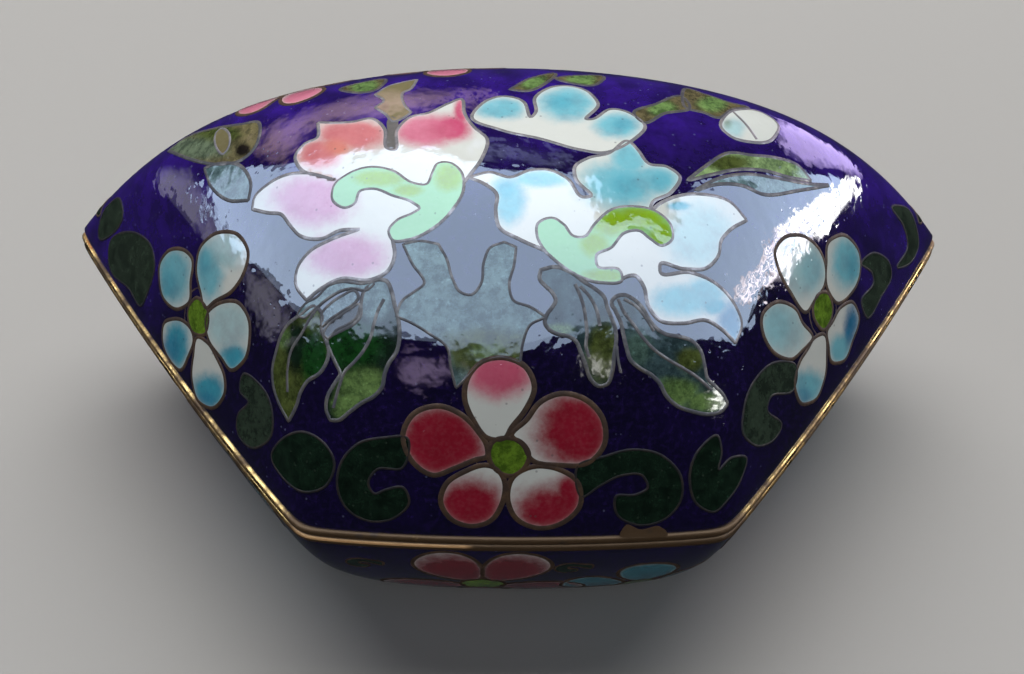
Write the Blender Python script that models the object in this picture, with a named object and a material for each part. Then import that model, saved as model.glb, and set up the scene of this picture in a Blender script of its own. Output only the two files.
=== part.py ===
# Cloisonne enamel box: a fan-shaped trinket box of enamelled copper with gilt brass rims.
#
# The narrow edge of the fan faces -Y and its wide arc +Y. The box stands on its flat underside at
# z = 0, with the origin under the middle of its outline. It comes in four pieces: the bowl, the rim
# that caps the bowl and carries the tongue, the rim that caps the lid's edge, and the domed lid.
#
# Every cross-section at a height is one level curve of the same plan: a line that runs at one inset
# inside the four edges of the fan, with the corners rounder the further in it lies. A piece is
# therefore drawn as a profile of insets and heights, and lofted round through those curves.

import bpy
import numpy as np

# Plan of the sharp-cornered fan
FRONT_WIDTH = 0.0343
BACK_WIDTH = 0.0848
DEPTH = 0.0351
FRONT_BOW = 0.0009
SIDE_BOW = 0.0007
BACK_BOW = 0.0145
CORNER_SHARPNESS = 3.5
OUTLINE_INSET = 0.0015

# Heights, from the plane where lid and bowl meet
BOWL_DEPTH = 0.0163
LID_RISE = 0.0207
LIP_HEIGHT = 0.0016

# Curves of the walls
DOME_FULLNESS = 1.9
BOWL_TURN = 0.0085
BOWL_FULLNESS = 2.0
BOWL_STEEPNESS = 1.3

# Copper wall with its enamel
WALL = 0.0016

# Gilt rims and the tongue inside the lid
RIM_HEIGHT = 0.0008
RIM_PROUD = 0.0003
TONGUE_HEIGHT = 0.0020
TONGUE_THICKNESS = 0.0007
TONGUE_CLEARANCE = 0.0004

# Clearance left between pieces that touch
JOINT_GAP = 0.0003

# Fineness of the facets
COLUMNS = 80
DOME_RINGS = 12
BOWL_RINGS = 9
RIM_ARC_POINTS = 4
RING_CROWDING = 1.4
OUTLINE_SAMPLES = 2400
SEARCH_STEPS = 42
SMOOTH_ANGLE = np.radians(35)

# Least distance counted, which keeps the blend finite outside the fan
LEAST_DISTANCE = 1e-7


def clear_scene():
    for thing in list(bpy.data.objects):
        bpy.data.objects.remove(thing, do_unlink=True)


def inside_arc(points, start, end, bow):
    """Distance inside the arc from start to end, which bows outwards, to the right, by bow."""
    start, end = np.array(start), np.array(end)
    chord = np.linalg.norm(end - start)
    along = (end - start) / chord
    inward = np.array([-along[1], along[0]])
    radius = (chord ** 2 / 4 + bow ** 2) / (2 * bow)
    centre = (start + end) / 2 + inward * (radius - bow)
    return radius - np.linalg.norm(points - centre, axis=-1)


def inset(points):
    """How far points of the plan lie inside the fan: a smooth least of the four edge distances."""
    front, back = FRONT_WIDTH / 2, BACK_WIDTH / 2
    distances = np.stack([
        inside_arc(points, (-front, 0.0), (front, 0.0), FRONT_BOW),
        inside_arc(points, (front, 0.0), (back, DEPTH), SIDE_BOW),
        inside_arc(points, (back, DEPTH), (-back, DEPTH), BACK_BOW),
        inside_arc(points, (-back, DEPTH), (-front, 0.0), SIDE_BOW),
    ])
    shares = np.maximum(distances, LEAST_DISTANCE) ** -CORNER_SHARPNESS
    return shares.sum(axis=0) ** (-1 / CORNER_SHARPNESS)


def deepest_point():
    """The point of the centre line that lies furthest inside the fan, and its inset."""
    ys = np.linspace(0, DEPTH + BACK_BOW, OUTLINE_SAMPLES)
    insets = inset(np.column_stack([np.zeros_like(ys), ys]))
    best = insets.argmax()
    return np.array([0.0, ys[best]]), insets[best]


def level_curve(heart, rays, level):
    """Points where rays from the heart meet the curve that runs at one inset, by halving."""
    near = np.zeros(len(rays))
    far = np.full(len(rays), BACK_WIDTH)
    for _ in range(SEARCH_STEPS):
        middle = (near + far) / 2
        within = inset(heart + middle[:, None] * rays) > level
        near = np.where(within, middle, near)
        far = np.where(within, far, middle)
    return heart + near[:, None] * rays


def column_rays(heart):
    """Rays for the loft's columns, spread evenly over the outline's length and its turning."""
    angles = np.linspace(-np.pi / 2, 3 * np.pi / 2, OUTLINE_SAMPLES + 1)
    rays = np.column_stack([np.cos(angles), np.sin(angles)])
    outline = level_curve(heart, rays, OUTLINE_INSET)
    steps = np.diff(outline, axis=0)
    lengths = np.linalg.norm(steps, axis=1)
    headings = np.unwrap(np.arctan2(steps[:, 1], steps[:, 0]))
    turns = np.abs(np.diff(headings, append=headings[0] + 2 * np.pi))
    weights = lengths / lengths.sum() + turns / turns.sum()
    travelled = np.concatenate([[0.0], np.cumsum(weights)]) / weights.sum()
    chosen = np.interp(np.arange(COLUMNS) / COLUMNS, travelled, angles)
    return np.column_stack([np.cos(chosen), np.sin(chosen)])


def offset_profile(profile, thickness):
    """A profile moved square to itself by thickness, to its right, with mitred corners."""
    steps = np.diff(profile, axis=0)
    along = steps / np.linalg.norm(steps, axis=1)[:, None]
    normals = np.column_stack([along[:, 1], -along[:, 0]])
    before = np.vstack([normals[:1], normals])
    after = np.vstack([normals, normals[-1:]])
    bisectors = before + after
    bisectors /= (bisectors * before).sum(axis=1)[:, None]
    return profile + thickness * bisectors


def dome_profile(deepest):
    """Outside of the lid from its edge to its top: an upright lip, then the swelling dome."""
    edge = JOINT_GAP / 2 + RIM_HEIGHT + JOINT_GAP
    risen = np.linspace(0, 1, DOME_RINGS + 1)
    insets = OUTLINE_INSET + (deepest - OUTLINE_INSET) * risen
    heights = LIP_HEIGHT + (LID_RISE - LIP_HEIGHT) * (1 - (1 - risen) ** DOME_FULLNESS)
    return np.vstack([[OUTLINE_INSET, edge], np.column_stack([insets, heights])])


def bowl_profile(deepest):
    """Outside of the bowl from its edge to the middle of its flat underside."""
    edge = -JOINT_GAP / 2 - RIM_HEIGHT - JOINT_GAP
    turned = np.linspace(0, 1, BOWL_RINGS + 1) ** RING_CROWDING
    insets = OUTLINE_INSET + BOWL_TURN * turned
    fallen = (1 - (1 - turned) ** BOWL_FULLNESS) ** (1 / BOWL_STEEPNESS)
    heights = edge - (BOWL_DEPTH + edge) * fallen
    return np.vstack([np.column_stack([insets, heights]), [deepest, -BOWL_DEPTH]])


def rounded_side(height_from, height_to):
    """Half-round outer side of a rim between two heights, from the first to the second."""
    angles = np.linspace(0, np.pi, RIM_ARC_POINTS)
    middle = (height_from + height_to) / 2
    heights = middle + (height_from - middle) * np.cos(angles)
    insets = OUTLINE_INSET - RIM_PROUD * np.sin(angles)
    return np.column_stack([insets, heights])


def lid_rim_profile():
    """Section of the band that caps the lid's edge, as wide as the wall."""
    low = JOINT_GAP / 2
    high = low + RIM_HEIGHT
    inner = OUTLINE_INSET + WALL
    return np.vstack([rounded_side(low, high), [inner, high], [inner, low]])


def bowl_rim_profile(tongue_inset):
    """Section of the band that caps the bowl, with the tongue that stands up inside the lid."""
    high = -JOINT_GAP / 2
    low = high - RIM_HEIGHT
    inner = tongue_inset + TONGUE_THICKNESS
    return np.vstack([
        rounded_side(low, high),
        [tongue_inset, high],
        [tongue_inset, TONGUE_HEIGHT],
        [inner, TONGUE_HEIGHT],
        [inner, low],
    ])


def make_material(name, colour, roughness, metallic):
    material = bpy.data.materials.new(name)
    material.use_nodes = True
    shader = material.node_tree.nodes["Principled BSDF"]
    shader.inputs["Base Color"].default_value = (*colour, 1.0)
    shader.inputs["Roughness"].default_value = roughness
    shader.inputs["Metallic"].default_value = metallic
    return material


def strip_faces(rings, columns, closed):
    """Quads between each ring of vertices and the next, and from the last to the first if closed."""
    ring = np.arange(rings if closed else rings - 1)[:, None]
    column = np.arange(columns)[None, :]
    next_ring = (ring + 1) % rings
    next_column = (column + 1) % columns
    corners = [
        ring * columns + column,
        ring * columns + next_column,
        next_ring * columns + next_column,
        next_ring * columns + column,
    ]
    return np.stack(corners, axis=-1).reshape(-1, 4).tolist()


def loft(collection, name, plan, profile, material, poles=False):
    """One closed piece, its profile of insets and heights carried round the level curves.

    With poles, the profile starts and ends on the heart of the plan, and its two ends are closed
    by fans of triangles. Otherwise the profile is a closed section.
    """
    heart, rays, centre_y, ground = plan
    section = profile[1:-1] if poles else profile
    curves = np.stack([level_curve(heart, rays, level) for level in section[:, 0]])
    heights = np.broadcast_to(section[:, 1, None, None], curves.shape[:2] + (1,))
    vertices = np.concatenate([curves, heights], axis=-1).reshape(-1, 3)
    faces = strip_faces(len(section), COLUMNS, closed=not poles)
    if poles:
        first, last = len(vertices), len(vertices) + 1
        ends = np.array([[*heart, profile[0, 1]], [*heart, profile[-1, 1]]])
        vertices = np.vstack([vertices, ends])
        opening = (len(section) - 1) * COLUMNS
        for column in range(COLUMNS):
            following = (column + 1) % COLUMNS
            faces.append([first, following, column])
            faces.append([last, opening + column, opening + following])
    vertices = vertices - [0.0, centre_y, ground]
    mesh = bpy.data.meshes.new(name)
    mesh.from_pydata(vertices.tolist(), [], faces)
    mesh.materials.append(material)
    mesh.shade_smooth()
    mesh.set_sharp_from_angle(angle=SMOOTH_ANGLE)
    collection.objects.link(bpy.data.objects.new(name, mesh))


def build_box():
    clear_scene()
    collection = bpy.data.collections.new("cloisonne_enamel_box")
    bpy.context.scene.collection.children.link(collection)

    heart, deepest = deepest_point()
    rays = column_rays(heart)
    outermost = level_curve(heart, rays, OUTLINE_INSET - RIM_PROUD)
    centre_y = (outermost[:, 1].min() + outermost[:, 1].max()) / 2
    plan = (heart, rays, centre_y, -BOWL_DEPTH)

    dome = dome_profile(deepest)
    dome_inside = offset_profile(dome, WALL)
    dome_inside[-1] = [deepest, LID_RISE - WALL]
    lid_material = make_material("lid_enamel", (0.03, 0.03, 0.22), 0.12, 0.0)
    loft(collection, "lid", plan, np.vstack([dome_inside[::-1], dome]), lid_material, poles=True)

    rim_material = make_material("lid_rim_gilt", (0.62, 0.38, 0.14), 0.3, 1.0)
    loft(collection, "lid_rim", plan, lid_rim_profile(), rim_material)

    reach = np.interp(TONGUE_HEIGHT, dome_inside[:, 1], dome_inside[:, 0])
    tongue_inset = reach + TONGUE_CLEARANCE
    collar_material = make_material("base_rim_gilt", (0.72, 0.48, 0.18), 0.25, 1.0)
    loft(collection, "base_rim", plan, bowl_rim_profile(tongue_inset), collar_material)

    bowl = bowl_profile(deepest)
    bowl_inside = offset_profile(bowl, -WALL)
    base_material = make_material("base_enamel", (0.03, 0.03, 0.2), 0.12, 0.0)
    loft(collection, "base", plan, np.vstack([bowl[::-1], bowl_inside]), base_material, poles=True)


build_box()
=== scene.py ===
# %% [markdown]
# # A cloisonne enamel box
#
# The object is a small trinket box with the plan of an open fan: a domed lid on a low bowl, both of
# copper sheet covered with glass enamel, their meeting edges capped with gilt brass. The pictures on
# it are cells of coloured enamel fenced in by thin brass wires, the cloisons, in a dark cobalt ground.
#
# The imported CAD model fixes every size. It is loaded first and is never changed. Each of its four
# solids is replaced here by a finer surface made from the same formulas, and the wires and the
# enamel cells are laid on those surfaces.

import bpy
import numpy as np
from mathutils import Matrix
from mathutils.geometry import delaunay_2d_cdt


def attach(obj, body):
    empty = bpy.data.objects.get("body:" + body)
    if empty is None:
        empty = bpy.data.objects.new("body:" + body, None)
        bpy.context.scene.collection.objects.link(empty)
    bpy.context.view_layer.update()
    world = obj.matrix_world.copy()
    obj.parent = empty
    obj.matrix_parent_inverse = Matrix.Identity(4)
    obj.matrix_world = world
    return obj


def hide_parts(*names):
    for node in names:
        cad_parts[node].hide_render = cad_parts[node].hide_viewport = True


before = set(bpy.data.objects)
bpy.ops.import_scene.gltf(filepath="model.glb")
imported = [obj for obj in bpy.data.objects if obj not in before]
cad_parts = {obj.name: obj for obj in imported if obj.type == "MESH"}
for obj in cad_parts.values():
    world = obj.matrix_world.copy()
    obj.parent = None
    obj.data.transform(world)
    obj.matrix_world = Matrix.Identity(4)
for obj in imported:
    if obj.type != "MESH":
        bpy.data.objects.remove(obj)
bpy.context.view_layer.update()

# %% [markdown]
# ## The plan of the fan
#
# Seen from above, the box is bounded by four shallow arcs. A sculptor would cut that outline from a
# sheet and hammer it up. Here the inset of a point is a blend of its distances inside the four arcs,
# and every horizontal section of lid and bowl is a curve of equal inset. The blend rounds the
# corners more and more towards the middle, as hammering does, so one formula gives all sections.

# %% Inset of a point in the fan
FRONT_WIDTH = 0.0343
BACK_WIDTH = 0.0848
DEPTH = 0.0351
FRONT_BOW = 0.0009
SIDE_BOW = 0.0007
BACK_BOW = 0.0145
CORNER_SHARPNESS = 3.5
LEAST_DISTANCE = 1e-7
OUTLINE_INSET = 0.0015
PLAN_CENTRE_Y = 0.02435008
HALVINGS = 34
CENTRE_SAMPLES = 2400


def inside_arc(points, start, end, bow):
    """Distance inside the arc from start to end that bows outwards, to its right, by bow."""
    start, end = np.array(start), np.array(end)
    chord = np.linalg.norm(end - start)
    along = (end - start) / chord
    inward = np.array([-along[1], along[0]])
    radius = (chord ** 2 / 4 + bow ** 2) / (2 * bow)
    centre = (start + end) / 2 + inward * (radius - bow)
    return radius - np.linalg.norm(points - centre, axis=-1)


def inset(points):
    """How far points (x, y) of the frame lie inside the fan.

    The four distances d are blended as (sum of d ** -k) ** (-1 / k), a smooth least of them.
    """
    points = points + [0.0, PLAN_CENTRE_Y]
    front, back = FRONT_WIDTH / 2, BACK_WIDTH / 2
    distances = np.stack([
        inside_arc(points, (-front, 0.0), (front, 0.0), FRONT_BOW),
        inside_arc(points, (front, 0.0), (back, DEPTH), SIDE_BOW),
        inside_arc(points, (back, DEPTH), (-back, DEPTH), BACK_BOW),
        inside_arc(points, (-back, DEPTH), (-front, 0.0), SIDE_BOW),
    ])
    shares = np.maximum(distances, LEAST_DISTANCE) ** -CORNER_SHARPNESS
    return shares.sum(axis=0) ** (-1 / CORNER_SHARPNESS)


centre_line = np.linspace(-PLAN_CENTRE_Y, DEPTH + BACK_BOW - PLAN_CENTRE_Y, CENTRE_SAMPLES)
centre_insets = inset(np.column_stack([np.zeros(CENTRE_SAMPLES), centre_line]))
HEART = np.array([0.0, centre_line[centre_insets.argmax()]])
DEEPEST = centre_insets.max()
print("heart of the fan in mm:", HEART * 1000, "inset there:", round(DEEPEST * 1000, 3))

# %% Curves of equal inset and the columns round them
COLUMNS = 360
TURN_SAMPLES = 2401


def level_curve(rays, level):
    """Points where rays from the heart meet the curve of one inset, found by halving."""
    near = np.zeros(len(rays))
    far = np.full(len(rays), BACK_WIDTH)
    for _ in range(HALVINGS):
        middle = (near + far) / 2
        within = inset(HEART + middle[:, None] * rays) > level
        near = np.where(within, middle, near)
        far = np.where(within, far, middle)
    return HEART + near[:, None] * rays


def rays_at(angles):
    """Unit directions in the plan at angles from +X."""
    return np.column_stack([np.cos(angles), np.sin(angles)])


def column_angles(columns):
    """Angles for a loft's columns, spread evenly over the outline's length and its turning."""
    angles = np.linspace(-np.pi / 2, 3 * np.pi / 2, TURN_SAMPLES)
    steps = np.diff(level_curve(rays_at(angles), OUTLINE_INSET), axis=0)
    lengths = np.linalg.norm(steps, axis=1)
    headings = np.unwrap(np.arctan2(steps[:, 1], steps[:, 0]))
    turns = np.abs(np.diff(headings, append=headings[0] + 2 * np.pi))
    weights = lengths / lengths.sum() + turns / turns.sum()
    travelled = np.concatenate([[0.0], np.cumsum(weights)]) / weights.sum()
    return np.interp(np.arange(columns) / columns, travelled, angles)


COLUMN_RAYS = rays_at(column_angles(COLUMNS))
outline = level_curve(COLUMN_RAYS, OUTLINE_INSET)
print("outline in mm:", np.ptp(outline, axis=0) * 1000)

# %% [markdown]
# ## The sections of lid and bowl
#
# A section tells how high the surface stands at each inset. The lid rises from a short upright lip
# into a full curve, and the bowl falls steeply from its edge and turns under to a flat foot. The
# enamelled outside is drawn five hundredths of a millimetre below the CAD surface, because the
# cells and the wires stand on it and the whole has to stay inside the CAD box.

# %% Heights over the plan
SEAM = 0.0163
LID_RISE = 0.0207
LIP_HEIGHT = 0.0016
DOME_FULLNESS = 1.9
BOWL_TURN = 0.0085
BOWL_FULLNESS = 2.0
BOWL_STEEPNESS = 1.3
WALL = 0.0016
RIM_HEIGHT = 0.0008
SEAM_GAP = 0.0001
GROUND_SINK = 0.00005


def dome_rise(insets):
    """Height of the lid's outside at insets: lip + (rise - lip) * (1 - (1 - risen) ** fullness)."""
    risen = (insets - OUTLINE_INSET) / (DEEPEST - OUTLINE_INSET)
    swell = 1 - np.maximum(1 - risen, 0) ** DOME_FULLNESS
    return SEAM + LIP_HEIGHT + (LID_RISE - LIP_HEIGHT) * swell


def bowl_fall(insets):
    """Height of the bowl's outside at insets, from its edge under the rim down to the foot at 0."""
    turned = np.clip((insets - OUTLINE_INSET) / BOWL_TURN, 0, 1)
    fallen = (1 - (1 - turned) ** BOWL_FULLNESS) ** (1 / BOWL_STEEPNESS)
    edge = SEAM - SEAM_GAP / 2 - RIM_HEIGHT
    return edge * (1 - fallen)


def above_dome(points):
    """How far points stand above the lid's outside: positive in the air."""
    return points[..., 2] - dome_rise(inset(points[..., :2]))


def below_bowl(points):
    """How far points lie below the bowl's outside: positive in the air."""
    return bowl_fall(inset(points[..., :2])) - points[..., 2]


PROBE = 0.00002


def outward(points, outside):
    """Unit normals of a surface: the direction in which its outside value grows fastest."""
    probes = np.eye(3) * PROBE
    slopes = np.stack([outside(points + p) - outside(points - p) for p in probes], axis=-1)
    return slopes / np.linalg.norm(slopes, axis=-1, keepdims=True)


print("top of the lid in mm:", round(float(dome_rise(DEEPEST)) * 1000, 2))

# %% [markdown]
# ## The camera
#
# The camera comes early, because the pictures on the lid are placed by sight lines through it. Its
# place, aim, turn and lens were found by fitting the box's outline to the photograph.

# %% Camera
PHOTO_WIDTH = 1024
PHOTO_HEIGHT = 674
FOCAL_PIXELS = 1250
SENSOR = 36.0
AZIMUTH = np.radians(-1.663)
ELEVATION = np.radians(46.583)
ROLL = np.radians(-1.605)
DISTANCE = 0.110385
AIM = np.array([-0.000018, -0.002020, 0.016347])

VIEW_BACK = np.array([
    np.sin(AZIMUTH) * np.cos(ELEVATION),
    -np.cos(AZIMUTH) * np.cos(ELEVATION),
    np.sin(ELEVATION),
])
level_right = np.array([np.cos(AZIMUTH), np.sin(AZIMUTH), 0.0])
level_up = np.cross(VIEW_BACK, level_right)
VIEW_RIGHT = level_right * np.cos(ROLL) - level_up * np.sin(ROLL)
VIEW_UP = level_right * np.sin(ROLL) + level_up * np.cos(ROLL)
EYE = AIM + VIEW_BACK * DISTANCE

camera_data = bpy.data.cameras.new("camera")
camera_data.sensor_width = SENSOR
camera_data.lens = SENSOR * FOCAL_PIXELS / PHOTO_WIDTH
camera_data.clip_start = 0.005
camera_data.clip_end = 20.0
camera = bpy.data.objects.new("camera", camera_data)
camera.matrix_world = Matrix([
    [VIEW_RIGHT[row], VIEW_UP[row], VIEW_BACK[row], EYE[row]] for row in range(3)
] + [[0.0, 0.0, 0.0, 1.0]])
bpy.context.scene.collection.objects.link(camera)
bpy.context.scene.camera = camera
print("camera at mm:", np.round(EYE * 1000, 1), "lens:", round(camera_data.lens, 2))

# %% [markdown]
# ## Meshes
#
# Every shape below ends as arrays of vertices and faces, and one function makes a piece of them. It
# also gives the piece its finishes and hides the solid of the CAD model that the piece replaces.

# %% Meshes from arrays
SHARP_ANGLE = np.radians(40)


def grid_faces(rings, columns, closed_rings, closed_columns):
    """Quads between neighbouring rings and columns of a grid of vertices."""
    ring = np.arange(rings if closed_rings else rings - 1)[:, None]
    column = np.arange(columns if closed_columns else columns - 1)[None, :]
    next_ring, next_column = (ring + 1) % rings, (column + 1) % columns
    corners = [
        ring * columns + column,
        ring * columns + next_column,
        next_ring * columns + next_column,
        next_ring * columns + column,
    ]
    return np.stack(corners, axis=-1).reshape(-1, 4)


def split_quads(quads):
    """Two triangles for each quad."""
    return np.vstack([quads[:, [0, 1, 2]], quads[:, [0, 2, 3]]])


def add_piece(name, vertices, faces, materials, stands_for=(), face_materials=None):
    """A mesh object at the origin that rides on the box and takes its finish from a slot."""
    mesh = bpy.data.meshes.new(name)
    mesh.from_pydata(vertices.tolist(), [], faces if isinstance(faces, list) else faces.tolist())
    for material in materials:
        mesh.materials.append(material)
    if face_materials is not None:
        mesh.polygons.foreach_set("material_index", face_materials.astype(np.int32))
    mesh.shade_smooth()
    mesh.set_sharp_from_angle(angle=SHARP_ANGLE)
    piece = bpy.data.objects.new(name, mesh)
    bpy.context.scene.collection.objects.link(piece)
    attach(piece, "root")
    for node in stands_for:
        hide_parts(node)
    print(name, "-", len(mesh.polygons), "faces")
    return piece


# %% [markdown]
# ## A small language for materials
#
# A material is a network of nodes. Wiring dozens of Math nodes by hand hides the idea, so a socket
# is wrapped in a class that understands +, -, * and /, and a formula can be written as a formula.

# %% Sockets that can be added and multiplied
class Socket:
    """An output of a node. Arithmetic on it adds Math nodes to the same material."""

    def __init__(self, paint, output):
        self.paint = paint
        self.output = output

    def math(self, operation, first, second):
        """The output of a new Math node that works on two sockets or numbers."""
        return self.paint.node("ShaderNodeMath", {"operation": operation}, {0: first, 1: second})

    def __add__(self, other):
        return self.math("ADD", self, other)

    def __radd__(self, other):
        return self.math("ADD", other, self)

    def __sub__(self, other):
        return self.math("SUBTRACT", self, other)

    def __rsub__(self, other):
        return self.math("SUBTRACT", other, self)

    def __mul__(self, other):
        return self.math("MULTIPLY", self, other)

    def __rmul__(self, other):
        return self.math("MULTIPLY", other, self)


class Paint:
    """A new material and the methods that add nodes to it."""

    def __init__(self, name):
        self.material = bpy.data.materials.new(name)
        self.material.use_nodes = True
        self.tree = self.material.node_tree
        self.shader = self.tree.nodes["Principled BSDF"]
        self.place = self.node("ShaderNodeTexCoord", output="Object")

    def node(self, kind, settings=None, inputs=None, output=0):
        """Adds a node: its settings first, then the values or links of its sockets."""
        made = self.tree.nodes.new(kind)
        for name, value in (settings or {}).items():
            if name == "stops":
                self.set_stops(made.color_ramp, value)
            else:
                setattr(made, name, value)
        self.feed(made, inputs or {})
        return Socket(self, made.outputs[output])

    def feed(self, node, inputs):
        """Links or sets each named or numbered input of a node."""
        for name, value in inputs.items():
            if isinstance(value, Socket):
                self.tree.links.new(value.output, node.inputs[name])
            else:
                node.inputs[name].default_value = value

    @staticmethod
    def set_stops(ramp, stops):
        """Gives a colour ramp its stops, pairs of a place and a colour."""
        while len(ramp.elements) < len(stops):
            ramp.elements.new(1.0)
        for element, (place, colour) in zip(ramp.elements, stops):
            element.position = place
            element.color = (*colour, 1.0)

    def noise(self, size, detail=3.0, roughness=0.55, stretch=None):
        """Cloudy noise from 0 to 1, its patches about size metres across."""
        place = self.place
        if stretch:
            place = self.node("ShaderNodeMapping", None, {"Vector": place, "Scale": stretch})
        return self.node("ShaderNodeTexNoise", None, {
            "Vector": place,
            "Scale": 1.0 / size,
            "Detail": detail,
            "Roughness": roughness,
        })

    def spots(self, size, share):
        """1 in round specks about size metres across and 0 between them, share of them shown."""
        cells = {"Vector": self.place, "Scale": 1.0 / size}
        reach = self.node("ShaderNodeTexVoronoi", None, cells, "Distance")
        lot = self.node("ShaderNodeTexVoronoi", None, cells, "Color")
        chosen = self.step(self.node("ShaderNodeSeparateColor", None, {0: lot}), 1 - share, 1.001 - share)
        return self.step(reach, 0.34, 0.16) * chosen

    def step(self, value, low, high, result=(0.0, 1.0)):
        """A soft step: the first result below low, the second above high, smooth between."""
        return self.node("ShaderNodeMapRange", {"interpolation_type": "SMOOTHSTEP"}, {
            "Value": value,
            "From Min": low,
            "From Max": high,
            "To Min": result[0],
            "To Max": result[1],
        })

    def mix(self, share, first, second, blend="MIX"):
        """A blend of two colours: the first at share 0, the second at share 1."""
        settings = {"data_type": "RGBA", "blend_type": blend}
        colours = {0: share, 6: self.colour(first), 7: self.colour(second)}
        return self.node("ShaderNodeMix", settings, colours, 2)

    @staticmethod
    def colour(value):
        """A colour as a socket takes it, with its fourth number."""
        return value if isinstance(value, Socket) else (*value, 1.0)

    def attribute(self, name, output="Color"):
        """A value stored on the mesh's own vertices."""
        return self.node("ShaderNodeAttribute", {"attribute_name": name}, None, output)

    def along(self, axis):
        """The place of the shaded point along X, Y or Z, in metres."""
        return self.node("ShaderNodeSeparateXYZ", None, {0: self.place}, axis)

    def bump(self, height, depth, under=None):
        """A normal tilted as a relief of that height, 0 to 1, times depth in metres would tilt it."""
        inputs = {"Height": height, "Distance": depth, "Strength": 1.0}
        if under:
            inputs["Normal"] = under
        return self.node("ShaderNodeBump", None, inputs)

    def finish(self, **inputs):
        """Sets or links the shader's sockets, their names written with underscores."""
        self.feed(self.shader, {name.replace("_", " "): value for name, value in inputs.items()})
        return self.material


# %% [markdown]
# ## Enamel
#
# Enamel is lead glass melted on copper: a hard, glossy skin with tiny bubbles and specks, and with
# the faint waves that polishing leaves. The shader's own gloss gives the glass its body, and a thin
# coat over it gives the sharper sheen of the polished skin. The cobalt ground is painted darker
# towards the front as painted shade, for the front wall that lies in shade, so its tint follows the
# place along Y, with cloudy noise in it.

# %% Cobalt ground
ENAMEL_IOR = 1.55
ENAMEL_COAT = (0.35, 0.03)


def fired(paint, tint, cloud_size, gloss, ior=ENAMEL_IOR, coat=ENAMEL_COAT):
    """Finishes a glass: clouds in its gloss, a coat of one weight and roughness, and its relief.

    The relief is long soft waves of the polished skin, with finer ripples and small pits in it.
    """
    waves = paint.bump(paint.noise(0.0060, 1.0), 0.00016)
    ripples = paint.bump(paint.noise(0.0011, 1.5, 0.4), 0.000040, under=waves)
    return paint.finish(
        Base_Color=tint,
        Roughness=paint.step(paint.noise(cloud_size, 3.0), 0.3, 0.8, gloss),
        IOR=ior,
        Coat_Weight=coat[0],
        Coat_Roughness=coat[1],
        Normal=paint.bump(1 - paint.spots(0.0004, 0.10), 0.000006, under=ripples),
    )


cobalt = Paint("cobalt_enamel")
mottle = cobalt.noise(0.004, 5.0, 0.65)
deep_blue = cobalt.mix(cobalt.step(mottle, 0.35, 0.7), (0.014, 0.0045, 0.090), (0.034, 0.0095, 0.235))
# Painted shade: the ground is darkened towards the front, where the box lies in shade.
painted_front_shade = cobalt.step(cobalt.along("Y") + (mottle - 0.5) * 0.008, -0.0090, 0.0090, (0.90, 0.0))
front_shaded_blue = cobalt.mix(painted_front_shade, deep_blue, (0.0022, 0.0012, 0.010))
grain = cobalt.step(cobalt.noise(0.0004, 2.0), 0.45, 0.75)
grained = cobalt.mix(grain * 0.25, front_shaded_blue, (0.030, 0.013, 0.14))
specked = cobalt.mix(cobalt.spots(0.00035, 0.04) * 0.35, grained, (0.16, 0.18, 0.30))
COBALT_ENAMEL = fired(cobalt, specked, 0.003, (0.025, 0.07))

# %% [markdown]
# Inside, such boxes carry a plain coat, the counter-enamel, which keeps the copper from warping. It
# is usually turquoise, and it is less even than the outside because nobody polishes it.

# %% Turquoise lining
lining = Paint("turquoise_lining")
cloud = lining.noise(0.007, 5.0, 0.6)
lining_tint = lining.mix(lining.step(cloud, 0.3, 0.7), (0.035, 0.23, 0.30), (0.07, 0.36, 0.42))
lining_specks = lining.mix(lining.spots(0.0012, 0.15) * 0.7, lining_tint, (0.015, 0.09, 0.13))
LINING_ENAMEL = lining.finish(
    Base_Color=lining_specks,
    Roughness=lining.step(lining.noise(0.002, 3.0), 0.3, 0.8, (0.12, 0.26)),
    IOR=ENAMEL_IOR,
    Coat_Weight=0.6,
    Coat_Roughness=0.12,
    Normal=lining.bump(lining.noise(0.0016, 3.0), 0.00005),
)

# %% [markdown]
# The petals are white enamel with a wash of colour melted into it, so the colour ends in a feathered
# edge. The cells' vertices carry two tints and the amount of the wash. The material adds noise to the
# amount before a soft step, which frays the edge at a scale far below the mesh.

# %% Petal enamel
petal = Paint("petal_enamel")
frayed = petal.attribute("wash", "Fac") + (petal.noise(0.0011, 6.0, 0.7) - 0.5) * 0.6
wash = petal.step(frayed, 0.08, 0.98)
washed = petal.mix(wash, petal.attribute("pale_tint"), petal.attribute("wash_tint"))
blotches = petal.step(petal.noise(0.0021, 4.0, 0.65), 0.35, 0.72)
blotched = petal.mix(blotches * wash * 0.55, washed, (0.78, 0.60, 0.64), "MULTIPLY")
fine = petal.step(petal.noise(0.00035, 2.0), 0.35, 0.75)
powdered = petal.mix(fine * 0.02, blotched, (0.75, 0.78, 0.80))
rimmed = petal.mix(petal.attribute("edge", "Fac") * 0.45, powdered, petal.attribute("pale_tint"))
freckled = petal.mix(petal.spots(0.00038, 0.035) * 0.45, rimmed, (0.06, 0.07, 0.08))
PETAL_ENAMEL = fired(petal, freckled, 0.002, (0.03, 0.09))

# %% [markdown]
# The greens are clearer glass. Light reaches the copper through them, so they look deep, cloudy and
# uneven, with pale flecks where powder did not melt through. Their skin is softer, so they mirror less.

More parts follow.
